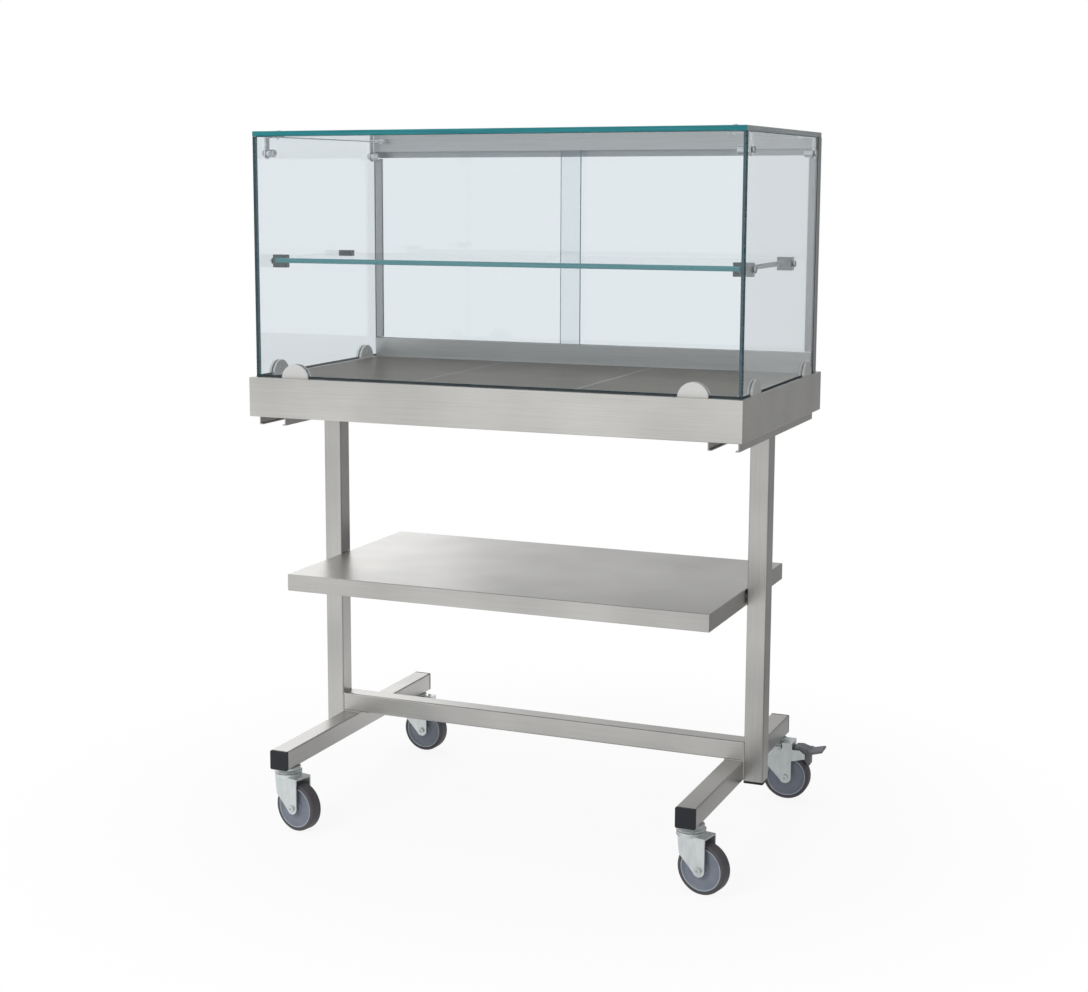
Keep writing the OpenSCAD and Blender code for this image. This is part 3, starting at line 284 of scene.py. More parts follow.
tyre_rubber = moulded("grey_tyre_rubber", "#4B484C", "#565357", 0.5, 1.4, 0.04)
hub_plastic = moulded("moulded_hub_polypropylene", "#777E8B", "#838A96", 0.38)
# The hub's ring finish is a painted highlight: lighter and glossier than the hub, for the bead's glint.
hub_highlight_plastic = moulded("painted_highlight_ring_polypropylene", "#A6ADB7", "#B6BCC5", 0.26)
cap_plastic = moulded("black_end_cap_polyethylene", "#0F131B", "#171C26", 0.46)
pedal_plastic = moulded("pedal_nylon", "#63656B", "#727479", 0.42)
control_plastic = moulded("control_abs", "#17181A", "#222326", 0.34)
rocker_plastic = moulded("red_rocker_polycarbonate", "#8A1712", "#A3211A", 0.18)
seal_rubber = moulded("seal_rubber", "#343A3E", "#444A4E", 0.6)
heater_silicone = moulded("heater_silicone", "#A9431C", "#BC5426", 0.5, 2.2, 0.1)
insulation_wool = moulded("mineral_wool", "#A89A5E", "#CBBE86", 0.85, 3.0, 0.6)
dial_print = moulded("white_dial_print", "#C9C9C5", "#DADAD6", 0.5)

# %% [markdown]
# ## Float glass
#
# A pane of float glass is clear when you look through it and green-blue when you look along it,
# because iron in the glass takes a little red from every centimetre of the way. A renderer can follow
# light along the pane, but only for a few bounces, and then the edge turns black. So each pane has two
# finishes: clear glass on its faces, and a ground edge that carries the colour seen in the photograph.

# %% Glass
def float_glass(name, tint):
    material, tree = new_tree(name)
    film = noise(tree, (60, 60, 60), detail=2.0)
    surface(tree, Base_Color=linear(tint), IOR=1.52, Transmission_Weight=1.0,
            Roughness=between(tree, film, 0.0, 0.015, 0.45, 0.8))
    return material


def ground_edge(name, dark, light):
    material, tree = new_tree(name)
    wheel_marks = noise(tree, (160, 160, 3), detail=2.0)
    surface(tree, Base_Color=blend_colours(tree, wheel_marks, dark, light), IOR=1.52,
            Specular_IOR_Level=0.25, Roughness=between(tree, wheel_marks, 0.2, 0.32))
    return material


clear_glass = float_glass("clear_float_glass", "#EFF3F5")
top_edge = ground_edge("top_pane_ground_edge", "#1F747B", "#2A838A")
top_end = ground_edge("top_pane_end_edge", "#8B9396", "#A4ABAD")
corner_edge = ground_edge("corner_ground_edge", "#153F4A", "#1D4E58")
shelf_edge = ground_edge("glass_shelf_ground_edge", "#3C8187", "#4D9196")
shelf_end = ground_edge("glass_shelf_end_edge", "#59666A", "#6F7C80")
door_edge = ground_edge("door_ground_edge", "#6F8A8D", "#8AA3A5")
print("materials:", len(bpy.data.materials))

# %% [markdown]
# ## From a CAD solid to a softened piece
#
# No folded sheet or sawn tube has a perfectly sharp edge. Its edges are rounded by the press or by a
# file, and they catch a thin line of light. A CAD node comes as loose triangles. A copy of it is
# merged, its flat faces are joined again, and its sharp edges get a small bevel. This keeps every
# size, which modelling the piece afresh would put at risk.

# %% Softening helpers
def merged_copy(node):
    """A bmesh of a CAD node, with its triangles joined into flat faces."""
    bm = bmesh.new()
    bm.from_mesh(frame["nodes"][node].data)
    bmesh.ops.remove_doubles(bm, verts=bm.verts, dist=0.01 * MM)
    bmesh.ops.dissolve_limit(bm, angle_limit=math.radians(0.5), verts=bm.verts, edges=bm.edges)
    return bm


def soften(bm, radius, segments=2, angle=35, keep=lambda edge: True):
    """Bevels the edges that are sharper than this angle."""
    edges = [e for e in bm.edges if e.is_manifold and e.calc_face_angle() > math.radians(angle) and keep(e)]
    bmesh.ops.bevel(bm, geom=edges, offset=radius * MM, offset_type="OFFSET", affect="EDGES",
                    segments=segments, profile=0.5, material=-1, clamp_overlap=True)


def finished(bm, name, material, body, stands_for=(), sharp=32):
    """Turns a bmesh into a piece of the cart, smooth but for its sharp edges.

    Weighted normals keep a flat face flat where it meets a rounded edge.
    """
    mesh = bpy.data.meshes.new(name)
    bm.to_mesh(mesh)
    bm.free()
    mesh.shade_smooth()
    mesh.set_sharp_from_angle(angle=math.radians(sharp))
    for finish in material if isinstance(material, list) else [material]:
        mesh.materials.append(finish)
    piece = bpy.data.objects.new(name, mesh)
    bpy.context.scene.collection.objects.link(piece)
    piece.modifiers.new("flat_faces_stay_flat", "WEIGHTED_NORMAL").keep_sharp = True
    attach(piece, body)
    if stands_for:
        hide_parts(*stands_for)
    return piece


def outer_fold(node):
    """A test for the twelve edges of the node's box, where folded sheet turns a corner."""
    low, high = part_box(node)

    def test(edge):
        ends = [vert.co for vert in edge.verts]
        flush = [any(all(abs(co[axis] - side[axis]) < 0.05 * MM for co in ends) for side in (low, high))
                 for axis in range(3)]
        return sum(flush) >= 2

    return test


def dress(node, material, radius, segments=2, angle=35, fold=None):
    """A softened copy of one CAD node in its finish. Folded sheet has a larger radius on its outside."""
    bm = merged_copy(node)
    if fold:
        soften(bm, fold, 5, 60, outer_fold(node))
    soften(bm, radius, segments, angle)
    return finished(bm, "dressed_" + node, material, BODY[node], [node])


# %% [markdown]
# ## The foot frame, the posts and the shelf
#
# The feet, the posts and the stretcher are 40 mm square tube. Their long corners are already round in
# the frame, so only the sawn ends need a touch. The middle shelf is one sheet with its edges folded
# down, with a fold radius near the sheet's thickness.

# %% Dress the steelwork
dress("left_foot", steel_along_y, 0.4)
dress("right_foot", steel_along_y, 0.4)
dress("left_post", steel_upright, 0.4)
dress("right_post", steel_upright, 0.4)
dress("stretcher", steel_along_x, 0.4)
dress("mid_shelf", steel_along_x, 0.5, fold=2.2)
dress("mid_shelf_angles", plate_steel, 0.4)
dress("post_head_plates", plate_steel, 0.5)
dress("tube_end_caps", cap_plastic, 0.9, 3)
dress("hidden_fasteners", plate_steel, 0.35, 1)
print("steelwork dressed")

# %% [markdown]
# ## A helper for small blocks
#
# Some details are plain blocks: the strips in the deck's seams, the ribs of a knob and the strokes
# round it. A block is one cube, stretched, turned and put in its place by a single matrix.

# %% Block helper
BEHIND = Vector((0, 1, 0))


def block(bm, centre, size, turn=0.0):
    """A block of this size in mm, turned about the Y axis."""
    made = bmesh.ops.create_cube(bm, size=1)["verts"]
    place = Matrix.Translation(centre) @ Matrix.Rotation(turn, 4, BEHIND)
    bmesh.ops.transform(bm, matrix=place @ Matrix.Diagonal([*(v * MM for v in size), 1]), verts=made)


# %% [markdown]
# ## The heated base
#
# The base is a shell of folded sheet with the polished deck let into its top. Under the deck lie the
# heating mats, a board of wool and the pan that closes the base from below. Two lipped channels under
# the pan take the heads of the posts. A strip of light steel lies in each seam between the deck's plates,
# a painted highlight for the bright line along the seam.

# %% Dress the base
STRIP_W, STRIP_H, STRIP_DROP = 2.2, 2.0, 0.85
# The apron takes the lighter steel, which paints the brighter light that falls on it.
dress("base_shell", satin_base_painted_lighter, 0.5, fold=2.2)
for node in ("left_deck_plate", "middle_deck_plate", "right_deck_plate"):
    dress(node, deck_steel, 0.5)
# Seam strips of light steel: a painted highlight along each seam of the deck.
bm = bmesh.new()
seam_low, seam_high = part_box("middle_deck_plate")
for x in (seam_low.x, seam_high.x):
    middle = Vector((x, (seam_low.y + seam_high.y) / 2, seam_high.z - STRIP_DROP * MM))
    block(bm, middle, (STRIP_W, (seam_high.y - seam_low.y) / MM - 1, STRIP_H))
soften(bm, 0.3)
finished(bm, "deck_seam_highlight_strips", axle_steel, "cart")
dress("bottom_pan", plate_steel, 0.6)
dress("left_channel", steel_along_y, 0.6)
dress("right_channel", steel_along_y, 0.6)
dress("heating_mats", heater_silicone, 0.5)
dress("insulation_board", insulation_wool, 3.0, 3)
print("base dressed, deck:", [round(v, 3) for v in seam_high - seam_low], "m for its middle plate")

# %% [markdown]
# ## The glass
#
# Each pane is cut, its edges are ground flat and the arris, the sharp corner, is taken off with a
# small chamfer that glints. In the frame the panes touch face to face, where a renderer can't tell
# which glass a ray is in, so each copy is drawn in by a tenth of a millimetre a side.

# %% Dress the panes
GLUE_LINE = 0.1


def dress_pane(node, edge_finish, end_finish=None, arris=0.8):
    """A pane with clear faces, ground edges and, to the left and right, ground ends."""
    bm = merged_copy(node)
    low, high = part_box(node)
    size = high - low
    thin = min(range(3), key=lambda axis: size[axis])
    shrink = Matrix.Diagonal([(length - 2 * GLUE_LINE * MM) / length for length in size]).to_4x4()
    middle = Matrix.Translation((low + high) / 2)
    bmesh.ops.transform(bm, matrix=middle @ shrink @ middle.inverted(), verts=bm.verts)
    soften(bm, arris, 1, 60, lambda edge: edge.calc_length() > 12 * MM)
    bm.normal_update()
    for face in bm.faces:
        is_end = thin != 0 and abs(face.normal.x) > 0.5
        face.material_index = 0 if abs(face.normal[thin]) > 0.9 else 2 if is_end else 1
    finishes = [clear_glass, edge_finish, end_finish or edge_finish]
    pane = finished(bm, "glazed_" + node, finishes, BODY[node], [node], 20)
    pane.visible_shadow = False
    return pane


dress_pane("top_pane", top_edge, top_end)
dress_pane("front_pane", corner_edge)
dress_pane("left_pane", corner_edge)
dress_pane("right_pane", corner_edge)
dress_pane("glass_shelf", shelf_edge, shelf_end)
dress_pane("left_door", door_edge, arris=0.6)
dress_pane("right_door", door_edge, arris=0.6)
dress("pane_seals", seal_rubber, 0.4)
print("panes:", 7)

# %% [markdown]
# ## Rails, jambs, pulls and clamps
#
# The doors run in extruded rails. An extrusion's edges are nearly sharp, with a radius of some tenths
# of a millimetre. The half-moon clamps hold the feet of the panes, and the shelf clamps pinch the
# glass shelf's ends.

# %% Dress the rails and clamps
dress("door_track", rail_aluminium, 0.35)
dress("door_header", rail_aluminium, 0.35)
dress("door_jambs", jamb_aluminium, 0.35)
dress("left_door_pull", jamb_aluminium, 0.5)
dress("right_door_pull", jamb_aluminium, 0.5)
dress("half_moon_clamps", clamp_aluminium, 0.8, 3)
dress("corner_brackets", polished_nickel, 0.7, 2)
dress("shelf_clamps", grey_clamp_metal, 1.0, 3)
print("rails and clamps dressed")

# %% [markdown]
# ## Turned parts
#
# Wheels, tyres, studs and screws are round, so each starts as a profile: a few points that give how
# far along the axis and how far from it the surface lies. Spinning that profile makes the piece, just
# as a lathe does. Plain cylinders would be quicker, but they have no shoulders and catch no light.

# %% Lathe helpers
def arc(along, radius, bend, start, end, steps=5):
    """Points of a profile's arc about (along, radius), from one angle to another in degrees."""
    turn = [math.radians(start + (end - start) * i / steps) for i in range(steps + 1)]
    return [(along + bend * math.cos(a), radius + bend * math.sin(a)) for a in turn]


def turned(bm, profile, centre, axis, steps=48, closed=False):
    """Spins a profile, in mm, about an axis. A closed profile makes a ring."""
    side = axis.orthogonal().normalized()
    verts = [bm.verts.new(centre + axis * (along * MM) + side * (radius * MM)) for along, radius in profile]
    edges = [bm.edges.new(pair) for pair in zip(verts, verts[1:])]
    if closed:
        edges.append(bm.edges.new((verts[-1], verts[0])))
    made = bmesh.ops.spin(bm, geom=verts + edges, cent=centre, axis=axis, angle=2 * math.pi,
                          steps=steps, use_merge=True, use_duplicate=False)
    bmesh.ops.remove_doubles(bm, verts=bm.verts, dist=0.005 * MM)
    bmesh.ops.recalc_face_normals(bm, faces=bm.faces)
    return made


# %% [markdown]
# ## The wheels
#
# A castor wheel of this size is a polypropylene hub with a grey rubber tyre pressed round it. The hub's
# face is dished. Just inside the tyre stands a round bead, painted lighter as a highlight where it
# catches the light, so it is part of the hub but has its own finish. The tyre's tread is nearly flat and
# its shoulders are round.

# %% Wheels
WHEEL_R, TYRE_T = 50.0, 7.0
TREAD_HALF = 14.25
RIM_R = WHEEL_R - TYRE_T
RING_INNER, RING_OUTER, RING_DEPTH = RIM_R - 2.9, RIM_R - 0.4, TREAD_HALF - 2.4


def wheel_axis(castor):
    joint = JOINT[castor + "_roll"]
    return Vector(joint["pos_m"]), Vector(joint["axis"]).normalized()


def tyre_profile():
    half, shoulder = TREAD_HALF, 5.0
    tread_r = WHEEL_R - shoulder
    right = arc(half - shoulder, tread_r, shoulder, 0, 90, 6)
    left = arc(shoulder - half, tread_r, shoulder, 90, 180, 6)
    return [(half - 0.3, RIM_R)] + right + left + [(0.3 - half, RIM_R)]


def hub_profile():
    half = TREAD_HALF - 0.4
    web = half - 3.8
    bead = arc(half - 1.3, RIM_R - 1.7, 1.3, 75, -60, 5)
    face = [(half - 1.6, RIM_R)] + bead
    face += [(half - 1.7, RIM_R - 4.4), (web + 0.8, RIM_R - 6.4), (web, RIM_R - 7.6), (web, 15.0),
             (web + 1.0, 13.6), (half - 1.2, 11.8), (half - 1.2, 4.3)]
    return face + [(-along, radius) for along, radius in reversed(face)]


def on_ring(face, centre, axis):
    """Says if a face of the hub lies on its ring."""
    reach = face.calc_center_median() - centre
    along = reach.dot(axis)
    radius = (reach - axis * along).length / MM
    return RING_INNER < radius < RING_OUTER and abs(along) / MM > RING_DEPTH


for castor in CASTORS:
    centre, axis = wheel_axis(castor)
    bm = bmesh.new()
    turned(bm, tyre_profile(), centre, axis, 72, closed=True)
    finished(bm, castor + "_rubber", tyre_rubber, BODY[castor + "_tyre"], [castor + "_tyre"])
    bm = bmesh.new()
    turned(bm, hub_profile(), centre, axis, 72, closed=True)
    # Faces on the ring take the lighter finish, which paints the bead's highlight.
    for face in bm.faces:
        face.material_index = int(on_ring(face, centre, axis))
    finished(bm, castor + "_hub", [hub_plastic, hub_highlight_plastic], BODY[castor + "_wheel"],
             [castor + "_wheel"])
    dress(castor + "_fork", castor_zinc, 0.9, 3)
    dress(castor + "_axle", axle_steel, 0.6, 2)
dress("rear_left_pedal", pedal_plastic, 1.2, 3)
dress("rear_right_pedal", pedal_plastic, 1.2, 3)
print("wheels:", len(CASTORS))

# %% [markdown]
# ## Where the small round parts stand
#
# The studs, the screws and the castors' stems come from the frame as nodes with several solids each.
# Walking from vertex to vertex finds each solid, and its box tells where its axis runs. So no place is
# typed in twice, and a screw follows when the frame changes.

# %% Find the solids of a node
def solids_of(node):
    """The box of each separate solid in a CAD node."""
    bm = merged_copy(node)
    waiting, boxes = set(bm.verts), []
    while waiting:
        found, front = [], [waiting.pop()]
        while front:
            vert = front.pop()
            found.append(vert.co)
            for edge in vert.link_edges:
                other = edge.other_vert(vert)
                if other in waiting:
                    waiting.discard(other)
                    front.append(other)
        boxes.append([Vector([pick(co[axis] for co in found) for axis in range(3)]) for pick in (min, max)])
    bm.free()
    return boxes


def outward_x(low, high):
    """The X direction that leads from the cart's middle to this solid."""
    return Vector((math.copysign(1, low.x + high.x), 0, 0))


# %% [markdown]
# ## Studs and screws in the glass
#
# A stud clamps each corner bracket to its pane, between a grooved knob inside and a flat cap outside.
# Dome screws hold the top pane, and short bolts hold the shelf clamps. They are turned from bar and
# plated, so each is one lathe profile with rounded shoulders. The pit for the key is part of it.

# %% Stud profiles
PANE_T = (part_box("right_pane")[1].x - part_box("right_pane")[0].x) / MM
STUD_R = 3.0
BRACKET_T, CAP_T = 3.0, 3.0


def key_pit(depth, radius, face):
    """The pit for a key in a stud's end face, from the face inwards to the axis."""
    return [(face, radius + 0.2), (face - depth, radius), (face - depth, 0)]


def corner_stud(length, knob_r):
    knob = length - PANE_T - BRACKET_T - CAP_T
    cap_r = knob_r - 1
    profile = [(0, 0)] + arc(1.6, knob_r - 1.6, 1.6, 180, 90)
    for groove in (4.5, 7.5, 10.5):
        profile += [(groove, knob_r), (groove + 0.5, knob_r - 0.7), (groove + 1.0, knob_r)]
    profile += arc(knob - 0.8, knob_r - 0.8, 0.8, 90, 0)
    cap = length - CAP_T
    profile += [(knob, STUD_R), (cap, STUD_R), (cap, cap_r - 0.5), (cap + 0.5, cap_r)]
    return profile + arc(length - 1.2, cap_r - 1.2, 1.2, 90, 0) + key_pit(1.5, 2.0, length)


def shelf_bolt(length, cap_r):
    cap = length - CAP_T
    start = [(0, 0), (0, STUD_R), (cap, STUD_R), (cap, cap_r - 0.4), (cap + 0.4, cap_r)]
    return start + arc(length - 1.0, cap_r - 1.0, 1.0, 90, 0) + key_pit(1.6, 2.2, length)


def dome_screw(length, dome_r):
    rise = 3.0
    ball = (dome_r ** 2 + rise ** 2) / (2 * rise)
    edge = math.degrees(math.asin(dome_r / ball))
    inner = math.degrees(math.asin(2.6 / ball))
    start = [(0, 0), (0.6, STUD_R), (length - rise, STUD_R), (length - rise, dome_r)]
    top = length - ball + ball * math.cos(math.radians(inner))
    return start + arc(length - ball, 0, ball, edge, inner, 8) + [(top - 1.6, 2.2), (top - 1.6, 0)]


# %% [markdown]
# ## Turning the studs
#
# The frame's stand-in for each stud gives its length, its radius and its axis. An upright one is a
# dome screw in the top pane. Of the others, the long ones hold corner brackets and the short ones hold
# shelf clamps. They share a plating bath, so they are turned into one piece with one finish.

# %% Turn the studs
LONGEST_SHELF_BOLT = 28
UP = Vector((0, 0, 1))
bm = bmesh.new()
for low, high in solids_of("glass_studs"):
    size, middle = (high - low) / MM, (low + high) / 2
    if size.z > size.x:
        turned(bm, dome_screw(size.z, size.x / 2), Vector((middle.x, middle.y, low.z)), UP, 32)
        continue
    out = outward_x(low, high)
    start = Vector((low.x if out.x > 0 else high.x, middle.y, middle.z))
    make = corner_stud if size.x > LONGEST_SHELF_BOLT else shelf_bolt
    turned(bm, make(size.x, size.y / 2), start, out, 32)
finished(bm, "turned_glass_studs", polished_nickel, "cart", ["glass_studs"])
print("studs turned:", len(solids_of("glass_studs")))

# %% [markdown]
# ## Grub screws of the half moons
#
# A half-moon clamp grips its pane with one small screw, whose end shows on the face that looks into
# the case. It is a shallow turned button with a pit, set a little below the middle of that face.

# %% Grub screws of the half moons
SCREW_RISE = 0.42
bm = bmesh.new()
for low, high in solids_of("half_moon_clamps"):
    middle, size = (low + high) / 2, high - low
    inward = BEHIND if size.y < size.x else -outward_x(low, high)
    face = middle + inward * (min(size.x, size.y) / 2)
    face.z = low.z + SCREW_RISE * size.z
    turned(bm, [(-0.4, 0), (-0.4, 3.2), (0.25, 3.2), (0.45, 3.0), (0.45, 1.9), (-0.2, 1.6), (-0.2, 0)],
           face, inward, 24)
finished(bm, "half_moon_grub_screws", polished_nickel, "cart")

# %% [markdown]
# ## Raceways over the forks
#
# A castor turns between two pressed cups with a ring of balls between them. The upper cup is riveted
# to the stem, and seen from the side it has two lips with a waist. It is a lathe job again, with the
# stem and the kingpin's head in the same profile.

# %% Raceways
FOOT_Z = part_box("left_foot")[0].z / MM
RACE_GAP = 0.7
CUP_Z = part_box("front_left_fork")[1].z / MM + RACE_GAP


def stem_profile(low, high):
    """From the kingpin's head at the bottom to the stem's end inside the foot."""
    cup, foot = CUP_Z - low, FOOT_Z - low
    head = [(0, 0)] + arc(1.2, 8.8, 1.2, 180, 90, 4) + [(4, 10), (4, 6)]
    lower_lip = [(cup, 6), (cup, 27.6)] + arc(cup + 2.2, 26.8, 2.2, -60, 80, 6)
    waist = [(cup + 5.6, 23.6), (cup + 7.0, 22.6), (foot - 3.4, 22.6)]
    upper_lip = arc(foot - 1.5, 24.5, 1.5, 160, 90, 4) + [(foot - 0.2, 24.5), (foot, 24), (foot, 6)]
    return head + lower_lip + waist + upper_lip + [(high - low - 1, 6), (high - low, 5), (high - low, 0)]


bm = bmesh.new()
for low, high in solids_of("castor_stems"):
    foot_of_axis = Vector(((low.x + high.x) / 2, (low.y + high.y) / 2, low.z))
    turned(bm, stem_profile(low.z / MM, high.z / MM), foot_of_axis, UP, 48)
finished(bm, "turned_castor_stems", castor_zinc, "cart", ["castor_stems"])
print("raceways at", round(CUP_Z, 1), "mm and feet at", round(FOOT_Z, 1), "mm above the floor")

# %% [markdown]
# ## Weld beads
#
# The tubes are welded where they meet, and the beads are left as the torch leaves them: small waves
# about 2 mm long. A bead is a thin rod with a rippled profile, half sunk in the corner of the joint.

# %% Welds
def weld(bm, start, end, radius=1.5, wave=2.2):
    """A rippled bead from one point to another."""
    length = (end - start).length / MM
    waves = max(2, round(length / wave))
    profile = [(0, 0)]
    for i in range(waves):
        profile += [(length * (i + share) / waves, radius * swell)
                    for share, swell in ((0.1, 0.85), (0.5, 1.12), (0.9, 0.85))]
    turned(bm, profile + [(length, 0)], start, (end - start).normalized(), 8)


bm = bmesh.new()
stretcher_low, stretcher_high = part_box("stretcher")
for side in (-1, 1):
    foot_low, foot_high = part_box("left_foot" if side < 0 else "right_foot")
    seam_x = foot_low.x if side < 0 else foot_high.x
    inner_x = foot_high.x if side < 0 else foot_low.x
    for end in (-1, 1):
        y = end * stretcher_high.y
        weld(bm, Vector((seam_x, y, foot_low.z + 4 * MM)), Vector((seam_x, y, stretcher_high.z - 3 * MM)))
        weld(bm, Vector((seam_x, y, foot_high.z)), Vector((inner_x, y, foot_high.z)))
    weld(bm, Vector((inner_x, stretcher_low.y, foot_high.z)), Vector((inner_x, stretcher_high.y, foot_high.z)))
    weld(bm, Vector((seam_x, stretcher_low.y + 3 * MM, stretcher_high.z)),
         Vector((seam_x, stretcher_high.y - 3 * MM, stretcher_high.z)))
# The beads take the base's lighter steel, so they are painted lighter than the tubes too.
finished(bm, "frame_weld_beads", satin_base_painted_lighter, "cart")
print("weld beads:", 12)

# %% [markdown]
# ## The controls at the back
#
# The cook's side has a thermostat, a lit rocker switch and an inlet for the power lead. Ribs round the
# knob give the fingers a grip, and a white line in its face points at the marks on the apron. The
# marks are plain strokes over the 270 degrees that the knob turns.

# %% Thermostat
DIAL_STEPS, DIAL_TURN = 9, 270
KNOB_RIBS = 24
knob_low, knob_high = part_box("thermostat_knob")
knob_middle = (knob_low + knob_high) / 2
knob_r, knob_h = (knob_high.x - knob_low.x) / 2, knob_high.y - knob_low.y
apron_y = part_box("base_shell")[1].y


def around_dial(radius, angle, y):
    """A point round the knob's axis, with the angle counted clockwise from the top, as the cook sees it."""
    return Vector((knob_middle.x - radius * math.sin(angle), y, knob_middle.z + radius * math.cos(angle)))


dress("thermostat", control_plastic, 0.6)
dress("thermostat_knob", control_plastic, 0.9, 3)
bm = bmesh.new()
for rib in range(KNOB_RIBS):
    angle = math.radians((rib + 0.5) * 360 / KNOB_RIBS)
    grip = around_dial(knob_r - 3 * MM, angle, knob_high.y - 0.36 * knob_h)
    block(bm, grip, (1.6, knob_h * 0.56 / MM, 1.8), -angle)
soften(bm, 0.4, 2)
finished(bm, "knob_grip_ribs", control_plastic, BODY["thermostat_knob"])

bm = bmesh.new()
block(bm, around_dial(knob_r - 6.2 * MM, 0, knob_high.y - 0.45 * MM), (1.8, 0.8, 5.6))
finished(bm, "knob_pointer", dial_print, BODY["thermostat_knob"])

bm = bmesh.new()
for step in range(DIAL_STEPS + 1):
    angle = math.radians(DIAL_TURN / DIAL_STEPS * step)
    reach, length = (5.0, 5.0) if step % 3 == 0 else (4.2, 3.4)
    stroke = around_dial(knob_r + reach * MM, angle, apron_y + 0.02 * MM)
    block(bm, stroke, (0.9, 0.16, length), -angle)
finished(bm, "dial_marks", control_plastic, "cart")
print("dial marks:", DIAL_STEPS + 1)

# %% [markdown]
# ## Switch and inlet
#
# Both are moulded bodies that snap into holes in the apron. Their shapes are right in the frame, so
# they only get soft edges and their plastics. The rocker is a clear red, because a lamp lights it.

# %% Switch and inlet
dress("switch_body", control_plastic, 0.4)
dress("switch_rocker", rocker_plastic, 0.5, 3)
dress("power_inlet", control_plastic, 0.4)

# %% [markdown]
# ## Screws at the back
#
# Three pan-head screws hold each jamb to the edge of its side pane. They could be left out at this
# size, but from behind their glints show how the jambs are fixed. One profile serves them all.

# %% Screws
def pan_screw(bm, place, axis, radius):
    rise = 0.55 * radius
    profile = [(-0.4, 0), (-0.4, radius)] + arc(0.0, radius - 0.6, 0.6, 60, 20, 2)
    profile += [(rise, radius * 0.55), (rise, radius * 0.42), (rise - 1.0, radius * 0.36), (rise - 1.0, 0)]
    turned(bm, profile, place, axis, 24)


bm = bmesh.new()
jamb_low, jamb_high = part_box("door_jambs")
pane_low, pane_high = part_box("right_pane")
for side in (-1, 1):
    for share in (0.12, 0.5, 0.88):
        z = jamb_low.z + share * (jamb_high.z - jamb_low.z)
        pan_screw(bm, Vector((side * (pane_low.x + pane_high.x) / 2, jamb_high.y, z)), BEHIND, 2.4)
finished(bm, "jamb_screws", polished_nickel, "cart")
print("jamb screws:", 6)

# %% [markdown]
# ## The white room
#
# A product shot like this one is taken in a white room. The world is that room. The camera sees it,
# and sees it through glass, as pure white. Metal mirrors it with brighter walls on the left and a
# darker one on the right, which gives the tubes their light and dark sides. All else gets half that
# light from it, so that the cart is lit at a plain level and its colours stay as written.

# %% World
def seen_as_white(tree, ray):
    """1 for a ray that comes from the camera, straight or through glass."""
    return add(tree, "Math", {0: ray["Is Camera Ray"], 1: ray["Is Transmission Ray"]},
               operation="MAXIMUM").outputs["Value"]


def place_brightness(ramp, stops):
    """Sets a ramp's stops from pairs of a place and a linear brightness."""
    for i, (position, level) in enumerate(stops):
        stop = ramp.elements[i] if i < 2 else ramp.elements.new(position)
        stop.position, stop.color = position, (level, level, level, 1)


world = bpy.data.worlds.new("white_studio")
bpy.context.scene.world = world
world.use_nodes = True
sky = world.node_tree
sky.nodes.clear()
ray = add(sky, "LightPath").outputs
direction = add(sky, "SeparateXYZ", {"Vector": add(sky, "TexCoord").outputs["Generated"]}).outputs
sideways = add(sky, "Math", {0: direction["Y"], 1: 0.3, 2: direction["X"]}, operation="MULTIPLY_ADD")
round_the_room = add(sky, "MapRange", {"Value": sideways.outputs["Value"], "From Min": -1.0,
                                       "From Max": 1.0}).outputs["Result"]
walls = add(sky, "ValToRGB", {"Fac": round_the_room})
place_brightness(walls.color_ramp, [(0.10, 0.8), (0.24, 1.0), (0.39, 1.0), (0.62, 0.34)])
mirrored = add(sky, "Background", {"Color": walls.outputs["Color"], "Strength": 1.0})
ambient = add(sky, "Background", {"Color": linear("#FFFFFF"), "Strength": 0.5})
white = add(sky, "Background", {"Color": linear("#FFFFFF"), "Strength": 1.0})
lit = add(sky, "MixShader", {0: ray["Is Glossy Ray"], 1: ambient.outputs[0], 2: mirrored.outputs[0]})
shown = add(sky, "MixShader", {0: seen_as_white(sky, ray), 1: lit.outputs[0], 2: white.outputs[0]})
add(sky, "OutputWorld", {"Surface": shown.outputs[0]})

# %% [markdown]
# ## The floor
#
# The floor is a round of white paper. To the camera, and in glass and metal, most of it is a plain
# white glow, and a tenth of it stays paper near the cart, which keeps the cart's soft shadow. The
# paper's share fades out with the distance, so the floor has no edge. As metal sees it, the floor is
# darker to the right and under the cart, where a real room gets less light.

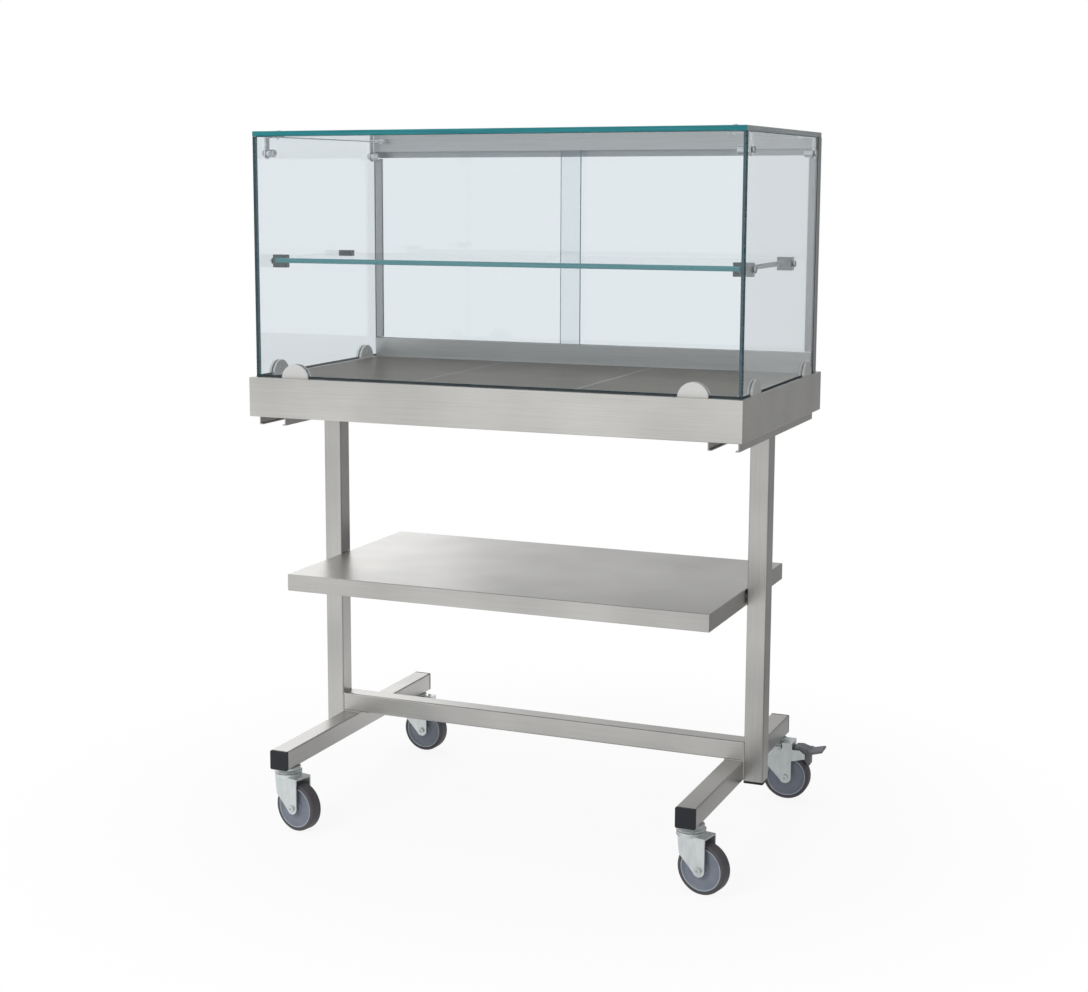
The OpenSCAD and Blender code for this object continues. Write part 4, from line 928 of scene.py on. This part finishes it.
# %% Floor
def studio_floor():
    material, tree = new_tree("studio_floor")
    ray = add(tree, "LightPath").outputs
    seen = add(tree, "Math", {0: seen_as_white(tree, ray), 1: ray["Is Glossy Ray"]}, operation="MAXIMUM")
    place = add(tree, "TexCoord").outputs["Object"]
    across = add(tree, "SeparateXYZ", {"Vector": place}).outputs["X"]
    mirrored = add(tree, "MapRange", {"Value": across, "From Min": 0.15, "From Max": 0.85, "To Min": 0.95,
                                      "To Max": 0.3}, interpolation_type="SMOOTHSTEP").outputs["Result"]
    far = add(tree, "VectorMath", {0: place}, operation="LENGTH").outputs["Value"]
    under = add(tree, "MapRange", {"Value": far, "From Min": 0.25, "From Max": 0.6, "To Min": 0.5,
                                   "To Max": 1.0}, interpolation_type="SMOOTHSTEP").outputs["Result"]
    fade = add(tree, "MapRange", {"Value": far, "From Min": 0.5, "From Max": 1.4, "To Min": 0.9,
                                  "To Max": 1.0}, interpolation_type="SMOOTHSTEP").outputs["Result"]
    shaded = add(tree, "Math", {0: mirrored, 1: under}, operation="MULTIPLY").outputs["Value"]
    level = add(tree, "Mix", {"Factor": ray["Is Glossy Ray"], "A": 1.0, "B": shaded}).outputs["Result"]
    share = add(tree, "Math", {0: seen.outputs[0], 1: fade}, operation="MULTIPLY").outputs["Value"]
    paper = add(tree, "BsdfDiffuse", {"Color": linear("#F4F4F4")}).outputs[0]
    glow = add(tree, "Emission", {"Color": linear("#FFFFFF"), "Strength": level}).outputs[0]
    both = add(tree, "MixShader", {0: share, 1: paper, 2: glow}).outputs[0]
    add(tree, "OutputMaterial", {"Surface": both})
    return material


FLOOR_R = 3.0
bm = bmesh.new()
bmesh.ops.create_circle(bm, cap_ends=True, segments=96, radius=FLOOR_R)
floor_mesh = bpy.data.meshes.new("floor")
bm.to_mesh(floor_mesh)
bm.free()
floor_mesh.materials.append(studio_floor())
floor = bpy.data.objects.new("floor", floor_mesh)
bpy.context.scene.collection.objects.link(floor)
print("floor:", 2 * FLOOR_R, "m across")

# %% [markdown]
# ## Soft boxes
#
# Large lamps close to the cart give soft shadows. The two strong ones, in front and above, would
# stand in the top pane as hard white oblongs when the cart is seen from behind, so they light matt
# surfaces only. The two weak ones are no brighter than white, and glass and metal may show them.

# %% Soft boxes
def soft_box(name, place, target, width, height, power, mirrored):
    """An area lamp of this size in metres and power in watts, which faces its target."""
    lamp = bpy.data.lights.new(name, "AREA")
    lamp.shape = "RECTANGLE"
    lamp.size, lamp.size_y = width, height
    lamp.energy = power
    holder = bpy.data.objects.new(name, lamp)
    holder.visible_camera = holder.visible_transmission = False
    holder.visible_glossy = mirrored
    bpy.context.scene.collection.objects.link(holder)
    holder.location = place
    holder.rotation_euler = (Vector(target) - Vector(place)).to_track_quat("-Z", "Y").to_euler()
    return holder


MIDDLE = (0, 0, 0.8)
soft_box("key_from_front_left", (-1.1, -3.4, 2.5), MIDDLE, 2.0, 1.6, 55, False)
soft_box("fill_from_right", (3.2, -2.2, 1.6), MIDDLE, 1.6, 1.6, 5, True)
soft_box("card_behind_left", (-2.4, 3.0, 1.3), (-0.3, 0, 0.5), 1.6, 1.0, 5, True)
soft_box("top_light", (-0.3, 0.4, 4.2), MIDDLE, 2.2, 2.2, 40, False)
